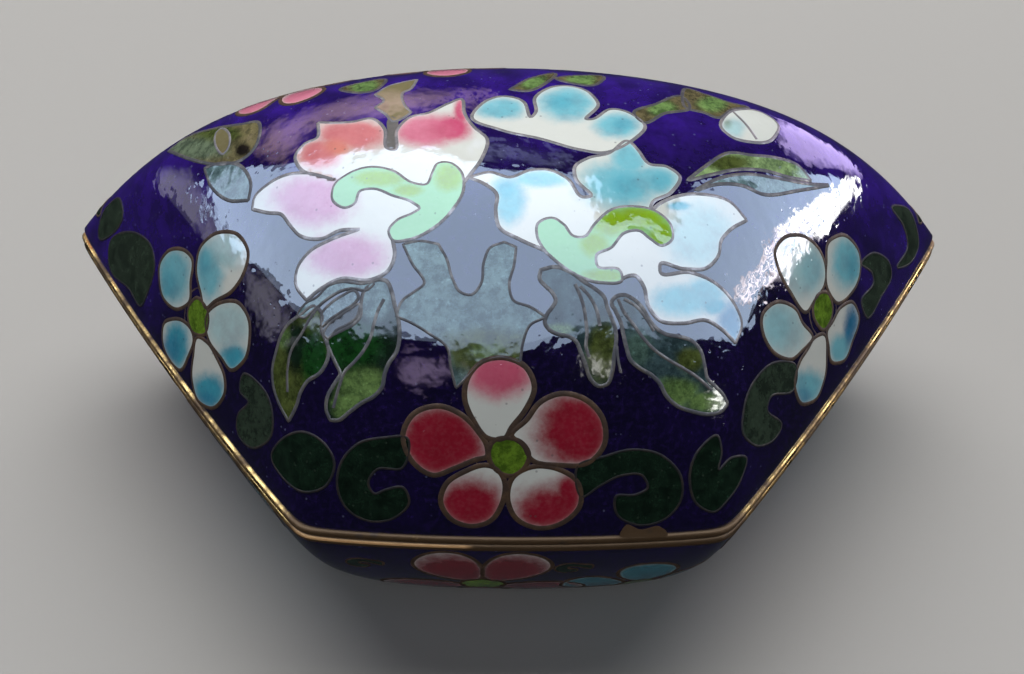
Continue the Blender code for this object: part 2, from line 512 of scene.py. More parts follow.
# %% Leaf enamel
leaf = Paint("leaf_enamel")
leaf_amount = leaf.attribute("wash", "Fac") + (leaf.noise(0.0014, 5.0, 0.7) - 0.5) * 0.9
leaf_washed = leaf.mix(
    leaf.step(leaf_amount, 0.1, 0.9), leaf.attribute("pale_tint"), leaf.attribute("wash_tint")
)
depths = leaf.step(leaf.noise(0.0010, 6.0, 0.75), 0.36, 0.62)
clouded = leaf.mix((1 - depths) * 0.85, leaf_washed, (0.25, 0.28, 0.30), "MULTIPLY")
flecks = leaf.step(leaf.noise(0.00032, 3.0, 0.65), 0.56, 0.72)
flecked = leaf.mix(flecks * 0.6, clouded, (2.0, 2.0, 2.1), "MULTIPLY")
leaf_specked = leaf.mix(leaf.spots(0.00032, 0.07) * 0.05, flecked, (0.35, 0.45, 0.35))
LEAF_IOR = 1.43
LEAF_COAT = (0.1, 0.05)
LEAF_ENAMEL = fired(leaf, leaf_specked, 0.002, (0.04, 0.14), LEAF_IOR, LEAF_COAT)

# %% [markdown]
# ## Gilt brass
#
# The gilding has worn and darkened. The rims are bright at the sides and darker along the front,
# where the darkening is painted shade for the front that lies in shade, and one thin bright line
# there is a painted highlight. The wires have dulled: they are palest round the blossoms, brown round
# the wall flowers and nearly black round the scrolls, so one function mixes a brass for each.

# %% Rim gilding and wire brass
rim = Paint("rim_gilt")
# front_edge marks the front of the rims. Added to the tarnish it darkens the front: painted shade. The
# noise in the tarnish is real tarnish.
front_edge = rim.step(rim.along("Y"), -0.0232, -0.0215, (1.0, 0.0))
tarnish = rim.step(rim.noise(0.0035, 5.0, 0.65) + front_edge * 0.22, 0.38, 0.60)
rim_tint = rim.mix(tarnish, (0.50, 0.30, 0.10), (0.078, 0.040, 0.014))
stains = rim.mix(rim.spots(0.0013, 0.3) * 0.7, rim_tint, (0.05, 0.03, 0.018))
# A thin bright line low on the front of the lid rim: a painted highlight.
highlight_length = rim.step(rim.along("X") + (tarnish - 0.5) * 0.002, -0.0030, -0.0020, (1.0, 0.0))
rim_height = rim.along("Z")
over_line = rim.step(rim_height, 0.01614, 0.01624, (1.0, 0.0))
painted_highlight_line = rim.step(rim_height, 0.01594, 0.01602) * over_line * front_edge * highlight_length
rim_with_painted_highlight = rim.mix(painted_highlight_line * 0.8, stains, (0.75, 0.40, 0.16))
rim_lines = rim.noise(0.00025, 3.0, 0.6, (1.0, 1.0, 9.0))
RIM_GILT = rim.finish(
    Base_Color=rim_with_painted_highlight,
    Metallic=rim.step(tarnish, 0.0, 1.0, (1.0, 0.45)),
    Specular_IOR_Level=0.25,
    Roughness=rim.step(tarnish + rim_lines * 0.4, 0.1, 1.2, (0.16, 0.5)),
    Normal=rim.bump(rim_lines, 0.00001, under=rim.bump(rim.noise(0.0012, 3.0), 0.00006)),
)


def wire_brass(name, bright, dull, metal, gloss):
    """Brass that is bright in patches and tarnished to a dull tint in the rest."""
    wire = Paint(name)
    tarnish = wire.step(wire.noise(0.0012, 4.0, 0.65), 0.30, 0.60)
    return wire.finish(
        Base_Color=wire.mix(tarnish, bright, dull),
        Metallic=wire.step(tarnish, 0.0, 1.0, metal),
        Roughness=wire.step(tarnish, 0.0, 1.0, (0.32, 0.55)),
        Specular_IOR_Level=gloss,
        Normal=wire.bump(wire.noise(0.0003, 3.0), 0.00001),
    )


SOME_METAL = (0.35, 0.05)
LITTLE_METAL = (0.1, 0.0)
PALE_WIRE = wire_brass(
    "pale_wire_brass", (0.24, 0.215, 0.205), (0.110, 0.100, 0.100), SOME_METAL, 0.25
)
LEAF_BRASS = wire_brass(
    "leaf_wire_brass", (0.12, 0.105, 0.090), (0.040, 0.036, 0.036), SOME_METAL, 0.2
)
BROWN_WIRE = wire_brass(
    "brown_wire_brass", (0.090, 0.055, 0.034), (0.045, 0.028, 0.019), LITTLE_METAL, 0.06
)
SCROLL_BRASS = wire_brass(
    "scroll_wire_brass", (0.040, 0.032, 0.028), (0.016, 0.014, 0.014), LITTLE_METAL, 0.06
)

# %% [markdown]
# ## Lid and bowl
#
# Both are shells of one wall thickness, open at the seam and enamelled on both sides. A closed
# section runs up the inside and back down the outside, and it is carried round the curves of equal
# inset. The rings crowd towards the middle, where those curves shrink to a point.

# %% The two shells
SHELL_RINGS = 84
FOOT_RINGS = 14
BOWL_CROWDING = 1.6


def offset_section(section, thickness):
    """A section moved square to itself by thickness, to its right, with mitred corners."""
    steps = np.diff(section, axis=0)
    along = steps / np.linalg.norm(steps, axis=1)[:, None]
    normals = np.column_stack([along[:, 1], -along[:, 0]])
    before = np.vstack([normals[:1], normals])
    after = np.vstack([normals, normals[-1:]])
    bisectors = before + after
    bisectors /= (bisectors * before).sum(axis=1)[:, None]
    return section + thickness * bisectors


def loft(section, poles):
    """Vertices and faces of a section of (inset, height) pairs carried round the fan.

    With poles, the section starts and ends over the heart, and fans of triangles close it there.
    """
    rings = section[1:-1] if poles else section
    curves = np.stack([level_curve(COLUMN_RAYS, level) for level in rings[:, 0]])
    heights = np.broadcast_to(rings[:, 1, None, None], curves.shape[:2] + (1,))
    vertices = np.concatenate([curves, heights], axis=-1).reshape(-1, 3)
    faces = grid_faces(len(rings), COLUMNS, not poles, True).tolist()
    if poles:
        ends = np.array([[*HEART, section[0, 1]], [*HEART, section[-1, 1]]])
        column = np.arange(COLUMNS)
        following = (column + 1) % COLUMNS
        last_ring = (len(rings) - 1) * COLUMNS
        first_fan = np.stack([np.full(COLUMNS, len(vertices)), following, column], axis=-1)
        last_pole = np.full(COLUMNS, len(vertices) + 1)
        last_fan = np.stack([last_pole, last_ring + column, last_ring + following], axis=-1)
        vertices = np.vstack([vertices, ends])
        faces += first_fan.tolist() + last_fan.tolist()
    return vertices, faces


lid_edge = SEAM + SEAM_GAP / 2 + RIM_HEIGHT
crowding = 1 - (1 - np.linspace(0, 1, SHELL_RINGS + 1)) ** 2
dome_insets = OUTLINE_INSET + (DEEPEST - OUTLINE_INSET) * crowding
dome_section = np.vstack([
    [OUTLINE_INSET, lid_edge],
    np.column_stack([dome_insets, dome_rise(dome_insets)]),
])
dome_lining = offset_section(dome_section, WALL)
dome_lining[-1] = [DEEPEST, SEAM + LID_RISE - WALL]
dome_outside = offset_section(dome_section, GROUND_SINK)
dome_outside[-1] = [DEEPEST, SEAM + LID_RISE - GROUND_SINK]
lid_section = np.vstack([dome_lining[::-1], dome_outside])
lid_vertices, lid_faces = loft(lid_section, poles=True)

# Faces come ring by ring, then one fan of triangles at the lining's pole and one at the outside's.
inner_rows = len(dome_lining) - 2
lid_rows = np.arange(len(lid_faces)) // COLUMNS
lid_inner = (lid_rows <= inner_rows) & (np.arange(len(lid_faces)) < len(lid_faces) - 2 * COLUMNS)
lid_inner[-2 * COLUMNS:-COLUMNS] = True
SHELL_MATERIALS = [COBALT_ENAMEL, LINING_ENAMEL]
add_piece("lid_shell", lid_vertices, lid_faces, SHELL_MATERIALS, ["lid"], lid_inner)

bowl_edge = SEAM - SEAM_GAP / 2 - RIM_HEIGHT
bowl_turning = np.linspace(0, 1, SHELL_RINGS // 2 + 1) ** BOWL_CROWDING
wall_insets = OUTLINE_INSET + BOWL_TURN * bowl_turning
foot_steps = np.linspace(0, 1, FOOT_RINGS + 1)[1:]
foot_insets = DEEPEST - (DEEPEST - wall_insets[-1]) * (1 - foot_steps) ** 2
bowl_insets = np.concatenate([wall_insets, foot_insets])
bowl_section = np.column_stack([bowl_insets, bowl_fall(bowl_insets)])
bowl_lining = offset_section(bowl_section, -WALL)
bowl_lining[-1] = [DEEPEST, WALL]
bowl_outside = offset_section(bowl_section, -GROUND_SINK)
bowl_outside[:, 1] = np.maximum(bowl_outside[:, 1], 0.0)
bowl_outside[-1] = [DEEPEST, 0.0]
bowl_vertices, bowl_faces = loft(np.vstack([bowl_outside[::-1], bowl_lining]), poles=True)
bowl_rows = np.arange(len(bowl_faces)) // COLUMNS
bowl_inner = bowl_rows >= len(bowl_outside) - 2
bowl_inner[-2 * COLUMNS:-COLUMNS] = False
add_piece("base_shell", bowl_vertices, bowl_faces, SHELL_MATERIALS, ["base"], bowl_inner)

# %% [markdown]
# ## The gilt rims
#
# Each shell's edge is capped by a brass band with a half-round outer side. The lower band also
# carries the tongue, an upright strip that stands up inside the lid and keeps it in place.

# %% The two rims
RIM_PROUD = 0.00025
RIM_ARC_POINTS = 12
TONGUE_HEIGHT = 0.0020
TONGUE_THICKNESS = 0.0007
TONGUE_CLEARANCE = 0.0004
TONGUE_BEVEL = 0.00015


def rounded_side(height_from, height_to):
    """The half-round outer side of a rim between two heights."""
    angles = np.linspace(0, np.pi, RIM_ARC_POINTS)
    middle = (height_from + height_to) / 2
    heights = middle + (height_from - middle) * np.cos(angles)
    return np.column_stack([OUTLINE_INSET - RIM_PROUD * np.sin(angles), heights])


rim_inner = OUTLINE_INSET + WALL
lid_rim_low = SEAM + SEAM_GAP / 2
lid_rim_section = np.vstack([
    rounded_side(lid_rim_low, lid_edge),
    [rim_inner, lid_edge],
    [rim_inner, lid_rim_low],
])
lid_rim_vertices, lid_rim_faces = loft(lid_rim_section, poles=False)
add_piece("lid_rim_band", lid_rim_vertices, lid_rim_faces, [RIM_GILT], ["lid_rim"])

tongue_top = SEAM + TONGUE_HEIGHT
tongue_outer = np.interp(tongue_top, dome_lining[:, 1], dome_lining[:, 0]) + TONGUE_CLEARANCE
tongue_inner = tongue_outer + TONGUE_THICKNESS
base_rim_high = SEAM - SEAM_GAP / 2
base_rim_section = np.vstack([
    rounded_side(bowl_edge, base_rim_high),
    [tongue_outer, base_rim_high],
    [tongue_outer, tongue_top - TONGUE_BEVEL],
    [tongue_outer + TONGUE_BEVEL, tongue_top],
    [tongue_inner - TONGUE_BEVEL, tongue_top],
    [tongue_inner, tongue_top - TONGUE_BEVEL],
    [tongue_inner, bowl_edge],
])
base_rim_vertices, base_rim_faces = loft(base_rim_section, poles=False)
add_piece("base_rim_band", base_rim_vertices, base_rim_faces, [RIM_GILT], ["base_rim"])

# %% [markdown]
# ## Drawing on the surface
#
# An enameller draws the picture flat, bends a wire along each line, and sets the wires on the copper.
# The same is done here. A shape is a list of marks on a flat drawing, joined by a smooth curve, and
# a projector carries the drawing to the surface. For the parts that the camera sees, the drawing is
# the photograph's own plane and the projector is a bundle of sight lines.

# %% Smooth lines through marks
TIP = 1
SPAN_STEPS = 12
FEWEST_STEPS = 8


def even_steps(path, spacing):
    """The path walked in equal steps close to spacing."""
    lengths = np.linalg.norm(np.diff(path, axis=0), axis=1)
    travelled = np.concatenate([[0.0], np.cumsum(lengths)])
    count = max(int(travelled[-1] / spacing), FEWEST_STEPS)
    stations = np.linspace(0, travelled[-1], count + 1)
    return np.column_stack([np.interp(stations, travelled, path[:, k]) for k in range(2)])


def smooth(marks, spacing, closed=True):
    """A curve through marks. A mark that ends in TIP is a sharp corner.

    Each span is the cubic whose slopes at its ends are the means of the chords that meet there,
    weighted so that the nearer mark counts more. At a corner it keeps its own chord's direction.
    """
    points = np.array([mark[:2] for mark in marks], float)
    sharp = np.array([len(mark) > 2 for mark in marks])
    if not closed:
        sharp[[0, -1]] = True
    chords = np.roll(points, -1, axis=0) - points
    lengths = np.linalg.norm(chords, axis=1)[:, None]
    ahead = chords / lengths
    behind, behind_lengths = np.roll(ahead, 1, axis=0), np.roll(lengths, 1, axis=0)
    slopes = (behind_lengths * ahead + lengths * behind) / (lengths + behind_lengths)
    leaving = np.where(sharp[:, None], ahead, slopes) * lengths
    arriving = np.roll(np.where(sharp[:, None], behind, slopes), -1, axis=0) * lengths
    t = np.linspace(0, 1, SPAN_STEPS, endpoint=False)[None, :, None]
    start, end = points[:, None], np.roll(points, -1, axis=0)[:, None]
    spans = (
        (2 * t ** 3 - 3 * t ** 2 + 1) * start
        + (t ** 3 - 2 * t ** 2 + t) * leaving[:, None]
        + (3 * t ** 2 - 2 * t ** 3) * end
        + (t ** 3 - t ** 2) * arriving[:, None]
    )
    if closed:
        path = np.vstack([spans.reshape(-1, 2), points[:1]])
        return even_steps(path, spacing)[:-1]
    return even_steps(np.vstack([spans[:-1].reshape(-1, 2), points[-1:]]), spacing)


# %% Projectors
SIGHT_STEPS = 90
SIGHT_HALVINGS = 16
SKY_ROOM = 0.0006


def sight_lines(pixels):
    """Unit directions from the eye through pixels of the photograph."""
    across = (pixels[:, :1] - PHOTO_WIDTH / 2) / FOCAL_PIXELS
    down = (pixels[:, 1:] - PHOTO_HEIGHT / 2) / FOCAL_PIXELS
    rays = across * VIEW_RIGHT - down * VIEW_UP - VIEW_BACK
    return rays / np.linalg.norm(rays, axis=1)[:, None]


def cast(pixels, outside, high, low):
    """Points where sight lines first go under a surface, between two heights.

    Each line is walked in equal steps, and the step that crosses the surface is halved again and
    again. A line that misses it stops where it comes closest.
    """
    rays = sight_lines(pixels)
    near = (high - EYE[2]) / rays[:, 2]
    far = (low - EYE[2]) / rays[:, 2]
    reaches = near[:, None] + (far - near)[:, None] * np.linspace(0, 1, SIGHT_STEPS)
    depths = outside(EYE + reaches[..., None] * rays[:, None])
    under = depths < 0
    found = under.any(axis=1)
    stop = np.where(found, under.argmax(axis=1), depths.argmin(axis=1))
    rows = np.arange(len(pixels))
    ahead = reaches[rows, stop]
    behind = np.where(found, reaches[rows, np.maximum(stop - 1, 0)], ahead)
    for _ in range(SIGHT_HALVINGS):
        middle = (ahead + behind) / 2
        crossed = outside(EYE + middle[:, None] * rays) < 0
        ahead = np.where(crossed, middle, ahead)
        behind = np.where(crossed, behind, middle)
    return EYE + ahead[:, None] * rays


def on_lid(pixels):
    """The photograph's drawing carried to the lid: the places there and the lid's normals."""
    points = cast(pixels, above_dome, SEAM + LID_RISE + SKY_ROOM, SEAM)
    points[:, 2] = dome_rise(inset(points[:, :2]))
    return points, outward(points, above_dome)


FRONT_FLOWER_MIDDLE = np.array([[509.0, 456.0]])
print("the front flower's middle lands at mm:", np.round(on_lid(FRONT_FLOWER_MIDDLE)[0] * 1000, 2))

# %% [markdown]
# Where the camera sees nothing, a shape is drawn on a small flat sheet in metres instead. The sheet
# touches the wall at one place and is pressed onto it along the normal there.

# %% A sheet pressed on the wall
SHEET_REACH = 0.009
PRESS_HALVINGS = 26


def place_on(section, angle, height):
    """The point of a shell's outside at an angle round the heart and a height."""
    order = np.argsort(section[:, 1])
    level = np.interp(height, section[order, 1], section[order, 0])
    return np.array([*level_curve(rays_at(np.array([angle])), level)[0], height])


def sheet(section, outside, angle, height, turn=0.0):
    """A projector for drawings in metres, right and up as seen from outside, round one place."""
    centre = place_on(section, np.radians(angle), height)
    normal = outward(centre[None], outside)[0]
    right = np.cross([0.0, 0.0, 1.0], normal)
    right /= np.linalg.norm(right)
    up = np.cross(normal, right)
    turned = np.radians(turn)
    right, up = (
        np.cos(turned) * right + np.sin(turned) * up,
        np.cos(turned) * up - np.sin(turned) * right,
    )

    def press(marks):
        flat = centre + marks[:, :1] * right + marks[:, 1:] * up
        deep = np.full(len(marks), -SHEET_REACH)
        free = np.full(len(marks), SHEET_REACH / 4)
        for _ in range(PRESS_HALVINGS):
            middle = (deep + free) / 2
            in_air = outside(flat + middle[:, None] * normal) > 0
            free = np.where(in_air, middle, free)
            deep = np.where(in_air, deep, middle)
        points = flat + deep[:, None] * normal
        return points, outward(points, outside)

    return press


# %% [markdown]
# ## Cells and wires
#
# A cell is a thin slab of enamel: its flat outline is filled with points on a triangular lattice and
# triangulated, all points are carried to the surface, and the slab's top stands 0.016 mm over the
# ground, and a little higher where it wets the wires. A wire is a band with a half-round back and a
# foot sunk in the enamel, carried along the outline.

# %% Enamel slabs
CELL_LEVEL = -0.000034
CELL_DEPTH = -0.00025
MENISCUS = 0.000012
MENISCUS_REACH = 0.0002
EDGE_REACH = 0.00016
ROW_PITCH = 0.866
CLEAR_OF_EDGE = 0.6
NO_DAB = 1e-6


def enclosed(outline, points):
    """Which points lie inside a closed outline, by counting the edges to their right."""
    start, end = outline, np.roll(outline, -1, axis=0)
    x, y = points[:, :1], points[:, 1:]
    spans = (start[:, 1] > y) != (end[:, 1] > y)
    rise = np.where(end[:, 1] == start[:, 1], 1.0, end[:, 1] - start[:, 1])
    crossing = start[:, 0] + (y - start[:, 1]) * (end[:, 0] - start[:, 0]) / rise
    return (spans & (x < crossing)).sum(axis=1) % 2 == 1


def nearest(points, others):
    """Distance from each point to the nearest of the others."""
    gaps = points[:, None] - others[None]
    return np.sqrt((gaps ** 2).sum(axis=-1).min(axis=1))


def lattice_fill(outline, spacing):
    """Points of a triangular lattice inside the outline, after the outline's own, and triangles."""
    low, high = outline.min(axis=0), outline.max(axis=0)
    rows = np.arange(low[1], high[1], spacing * ROW_PITCH)
    columns = np.arange(low[0], high[0], spacing)
    shift = (np.arange(len(rows)) % 2)[:, None] * spacing / 2
    xs = columns[None] + shift
    ys = np.broadcast_to(rows[:, None], xs.shape)
    lattice = np.column_stack([xs.ravel(), ys.ravel()])
    lattice = lattice[enclosed(outline, lattice)]
    clear = nearest(lattice, outline) > spacing * CLEAR_OF_EDGE
    points = np.vstack([outline, lattice[clear]])
    count = len(outline)
    ring = np.arange(count)
    edges = np.column_stack([ring, (ring + 1) % count])
    filled = delaunay_2d_cdt(points.tolist(), edges.tolist(), [], 1, 1e-7)
    found = np.array([tuple(v) for v in filled[0]])
    return found, np.array(filled[2]), count


# %% A closed slab over a filled outline
def slab(points, normals, triangles, rim_count, levels):
    """A closed slab over a triangulated patch: a top at levels, an even bottom and the side."""
    top = points + normals * levels[:, None]
    bottom = points + normals * CELL_DEPTH
    count = len(points)
    ring = np.arange(rim_count)
    following = (ring + 1) % rim_count
    side = np.vstack([
        np.column_stack([ring, following, following + count]),
        np.column_stack([ring, following + count, ring + count]),
    ])
    a, b, c = (points[triangles[:, k]] for k in range(3))
    facing = (np.cross(b - a, c - a) * normals[triangles[:, 0]]).sum() > 0
    up = triangles if facing else triangles[:, ::-1]
    vertices = np.vstack([top, bottom])
    edge_a, edge_b = points[0], points[1]
    inside_point = points.mean(axis=0)
    outward_side = np.cross(edge_b - edge_a, -normals[0])
    side_faces_out = (outward_side * (edge_a - inside_point)).sum() > 0
    side = side if side_faces_out else side[:, ::-1]
    return vertices, np.vstack([up, up[:, ::-1] + count, side])


# %% The cells of one piece
class Cells:
    """Enamel cells gathered for one piece, with the tints that their vertices carry."""

    def __init__(self, name):
        self.name = name
        self.vertices, self.faces, self.count = [], [], 0
        self.tints = {"pale_tint": [], "wash_tint": [], "wash": [], "edge": []}

    def add(self, outline, project, pale, dabs, spacing, unit, lift=0.0):
        """Fills one outline. A dab is (tint, centre, radius) in the drawing; colour fades at its rim."""
        flat, triangles, rim_count = lattice_fill(outline, spacing)
        points, normals = project(flat)
        to_edge = nearest(flat, outline) * unit
        levels = CELL_LEVEL + lift + MENISCUS * np.exp(-to_edge / MENISCUS_REACH)
        vertices, faces = slab(points, normals, triangles, rim_count, levels)
        amounts = np.stack([
            np.clip(1.5 - np.linalg.norm((flat - dab[1]) / dab[2], axis=1), 0, 1) for dab in dabs
        ] + [np.full(len(flat), NO_DAB)])
        shades = np.array([dab[0] for dab in dabs] + [pale], float)
        shares = amounts ** 3 / (amounts ** 3).sum(axis=0)
        tints = {
            "pale_tint": np.broadcast_to(np.array(pale, float), (len(flat), 3)),
            "wash_tint": shares.T @ shades,
            "wash": amounts.max(axis=0),
            "edge": np.exp(-to_edge / EDGE_REACH),
        }
        self.vertices.append(vertices)
        self.faces.append(faces + self.count)
        self.count += len(vertices)
        for key, values in tints.items():
            self.tints[key].append(np.concatenate([values, values]))

    def finish(self, material, slot):
        """Joins the cells into one piece with its attributes."""
        vertices = np.vstack(self.vertices)
        piece = add_piece(self.name, vertices, np.vstack(self.faces), [material])
        heights = np.round(vertices[:, 2] * 1000, 2)
        print("  from", heights.min(), "to", heights.max(), "mm high")
        for key, parts in self.tints.items():
            values = np.concatenate(parts)
            if values.ndim == 2:
                stored = piece.data.attributes.new(key, "FLOAT_COLOR", "POINT")
                rgba = np.column_stack([values, np.ones(len(values))]).astype(np.float32)
                stored.data.foreach_set("color", rgba.ravel())
            else:
                stored = piece.data.attributes.new(key, "FLOAT", "POINT")
                stored.data.foreach_set("value", values.astype(np.float32))


# %% Wires
WIRE_FOOT = -0.0003
WIRE_CROWN = 0.00004
WIRE_DIVE = -0.0002
WIRE_ARC = np.linspace(0, np.pi, 5)


class Wires:
    """Brass wires gathered for one piece."""

    def __init__(self, name):
        self.name = name
        self.vertices, self.faces, self.count = [], [], 0

    def add(self, line, project, width, closed=True, under=None, lift=0.0):
        """Lays a wire along a line of the drawing. Where it runs under an outline it dives."""
        points, normals = project(line)
        along = np.roll(points, -1, axis=0) - np.roll(points, 1, axis=0)
        if not closed:
            along[0], along[-1] = points[1] - points[0], points[-1] - points[-2]
        side = np.cross(normals, along)
        side /= np.linalg.norm(side, axis=1)[:, None]
        across = np.concatenate([np.cos(WIRE_ARC), [-1.0, 1.0]]) * width / 2
        heights = np.concatenate([
            -GROUND_SINK + WIRE_CROWN * np.sin(WIRE_ARC) + lift,
            [WIRE_FOOT, WIRE_FOOT],
        ])
        sink = np.zeros(len(line))
        if under is not None:
            sink = np.where(enclosed(under, line), WIRE_DIVE, 0.0)
        rise = heights[None, :, None] + sink[:, None, None]
        band = points[:, None] + across[None, :, None] * side[:, None] + rise * normals[:, None]
        section = len(across)
        vertices = band.reshape(-1, 3)
        faces = split_quads(grid_faces(len(points), section, closed, True))
        if not closed:
            spokes = np.arange(1, section - 1)
            cap = np.column_stack([np.zeros_like(spokes), spokes, spokes + 1])
            faces = np.vstack([faces, cap, cap[:, ::-1] + (len(points) - 1) * section])
        self.vertices.append(vertices)
        self.faces.append(faces[:, ::-1] + self.count)
        self.count += len(vertices)

    def finish(self, material):
        """Joins the wires into one piece."""
        add_piece(
            self.name, np.vstack(self.vertices), np.vstack(self.faces), [material]
        )


# %% [markdown]
# ## Tints
#
# The palette of the enamels, as the share of red, green and blue light that each sends back.

# %% Palette
WHITE = (0.60, 0.63, 0.61)
ICE = (0.40, 0.58, 0.61)
TURQUOISE = (0.045, 0.33, 0.46)
AQUA = (0.17, 0.47, 0.57)
PALE_AQUA = (0.38, 0.58, 0.62)
SEA_BLUE = (0.02, 0.17, 0.33)
CRIMSON = (0.27, 0.008, 0.026)
ROSE = (0.56, 0.10, 0.18)
CORAL = (0.60, 0.20, 0.22)
SALMON = (0.66, 0.24, 0.18)
MAGENTA = (0.50, 0.060, 0.15)
PINK = (0.62, 0.20, 0.30)
MAUVE = (0.52, 0.25, 0.42)
PALE_GREEN = (0.24, 0.52, 0.27)
LIME = (0.22, 0.42, 0.008)
OLIVE = (0.13, 0.24, 0.02)
FOREST = (0.007, 0.020, 0.011)
MOSS = (0.14, 0.24, 0.075)
FERN = (0.26, 0.39, 0.17)
LICHEN = (0.15, 0.20, 0.13)
BOTTLE = (0.030, 0.048, 0.032)
DEEP_GREEN = (0.008, 0.055, 0.010)
OLIVE_SHADE = (0.075, 0.10, 0.025)
SLATE = (0.040, 0.075, 0.085)
PALE_SLATE = (0.15, 0.23, 0.28)
UMBER = (0.022, 0.017, 0.014)
GREY_GREEN = (0.07, 0.13, 0.11)
MIST = (0.14, 0.23, 0.25)
STEM_BROWN = (0.13, 0.11, 0.055)
BEIGE = (0.17, 0.15, 0.075)
PEWTER = (0.13, 0.125, 0.125)

# %% [markdown]
# Most of the drawing is in pixels of the photograph, and PIXEL is about the width of one on the lid.
# A cell that is meant to lie over another is lifted by a few thousandths of a millimetre, so that
# their tops don't coincide.

# %% Drawing on the lid
PIXEL = 0.000088
PHOTO_SPACING = 3.0
LINE_STEP = 1.8
SHEET_SPACING = 0.00028
SHEET_STEP = 0.00018


def draw(marks, cells, pale, dabs=(), wires=None, width=0.0, lifts=(0.0, 0.0), under=(), coarse=1.0):
    """A cell on the lid and the wire round it. lifts raise the cell and the wire.

    The wire dives where it runs under another outline. coarse widens the cell's lattice.
    """
    line = smooth(marks, LINE_STEP)
    cells.add(line, on_lid, pale, dabs, PHOTO_SPACING * coarse, PIXEL, lifts[0])
    if wires:
        over = smooth(under, LINE_STEP) if under else None
        wires.add(line, on_lid, width, under=over, lift=lifts[1])


def draw_line(marks, wires, width):
    """A wire along an open line on the lid."""
    wires.add(smooth(marks, LINE_STEP, closed=False), on_lid, width, closed=False)


# %% [markdown]
# ## The two blossoms on the crown
#
# Two large trumpet blossoms lie over the top of the lid, one white and pink, one white and turquoise,
# each with a green calyx lip across its throat. They could be painted on as a pattern, but the wires
# stand up and catch the light, so each blossom is one white cell with a wire round it, and the lip is
# a second cell that lies over it. The pink and the blue are washes at the petals' ends.

# %% Pink blossom
PINK_BLOSSOM = [
    (333, 179, TIP), (317, 175), (302, 170), (295, 157), (304, 144), (318, 136), (318, 122, TIP),
    (334, 122.5), (352, 121.5), (374, 119), (384, 128), (387, 148), (395, 149.5), (397, 130), (408, 118),
    (430, 112), (449, 103), (462, 99), (464, 112), (474, 127), (487, 139), (482, 157), (470, 174, TIP),
    (456, 192), (430, 220), (392, 238, TIP), (394, 256), (388, 270), (370, 279.5), (340, 278.5),
    (321, 288), (306, 300, TIP), (296, 286), (297, 269), (309, 252), (330, 240), (360, 229, TIP),
    (340, 230), (320, 238.5), (300, 235.5), (289, 224), (281, 214), (268, 212.5), (252, 209, TIP),
    (254, 198), (268, 184), (284, 175.5), (308, 173),
]
PINK_DABS = [
    (CORAL, (352, 134), (38, 16)),
    (CORAL, (318, 154), (22, 15)),
    (PINK, (426, 130), (36, 16)),
    (MAGENTA, (450, 128), (22, 14)),
    (MAGENTA, (462, 110), (8, 14)),
    (SALMON, (336, 146), (16, 9)),
    (MAUVE, (312, 200), (40, 26)),
    (MAUVE, (345, 256), (42, 22)),
]
PINK_LIP = [
    (433, 172, TIP), (437, 164), (449, 162.5), (461, 172), (463, 188), (452, 209), (432, 228),
    (408, 239), (392, 239), (389, 231), (397, 220.5), (413, 213), (420, 208), (413, 202), (393, 195),
    (373, 188), (359, 191), (354, 203), (345, 207), (333, 200), (334, 186), (348, 174), (370, 167),
    (392, 170.5), (413, 183), (427, 184),
]
PINK_LIP_DABS = [(LIME, (449, 176), (16, 14)), (LIME, (380, 178), (26, 8)), (LIME, (408, 190), (14, 6))]

blossom_cells = Cells("blossom_cells")
lip_cells = Cells("blossom_lips")
blossom_wires = Wires("blossom_wires")
BLOSSOM_WIRE = 0.00033
LIP_LIFTS = (0.000012, 0.000004)


def draw_blossom(marks, dabs, lip_marks, lip_dabs):
    """A white blossom and the green lip over its throat."""
    draw(marks, blossom_cells, WHITE, dabs, blossom_wires, BLOSSOM_WIRE, under=lip_marks)
    draw(lip_marks, lip_cells, PALE_GREEN, lip_dabs, blossom_wires, BLOSSOM_WIRE, LIP_LIFTS)


draw_blossom(PINK_BLOSSOM, PINK_DABS, PINK_LIP, PINK_LIP_DABS)

# %% Turquoise blossom
BLUE_BLOSSOM = [
    (469, 177, TIP), (490, 172), (510, 177), (530, 170), (550, 170), (568, 179), (583, 197), (591, 196),
    (576, 178), (575, 167), (588, 158), (609, 153), (628, 140.5), (638, 150), (648, 163), (668, 167),
    (680, 177), (671, 192), (652, 203), (650, 210.5), (661, 203), (680, 195.5), (705, 194.5),
    (729, 201), (747, 220, TIP), (731, 229), (721, 241), (719, 254), (708, 267), (684, 268.5),
    (660, 264.5), (660, 271.5), (690, 272.5), (715, 283), (734, 303), (742, 325), (736, 343, TIP),
    (722, 329), (706, 320), (684, 323), (660, 320), (649, 306), (644, 286), (637, 276), (610, 282),
    (578, 275), (545, 250, TIP), (520, 239), (499, 226), (496, 210), (497, 194), (484, 183),
]
BLUE_DABS = [
    (AQUA, (508, 198), (18, 26)),
    (TURQUOISE, (506, 190), (10, 10)),
    (AQUA, (540, 178), (32, 9)),
    (AQUA, (622, 184), (42, 24)),
    (AQUA, (630, 158), (20, 18)),
    (AQUA, (654, 180), (26, 16)),
    (TURQUOISE, (626, 184), (20, 14)),
    (TURQUOISE, (660, 180), (12, 9)),
    (TURQUOISE, (680, 206), (12, 5)),
    (PALE_AQUA, (700, 236), (34, 34)),
    (AQUA, (684, 300), (34, 16)),
    (AQUA, (706, 292), (20, 16)),
    (SEA_BLUE, (732, 324), (15, 24)),
    (TURQUOISE, (714, 306), (14, 9)),
]
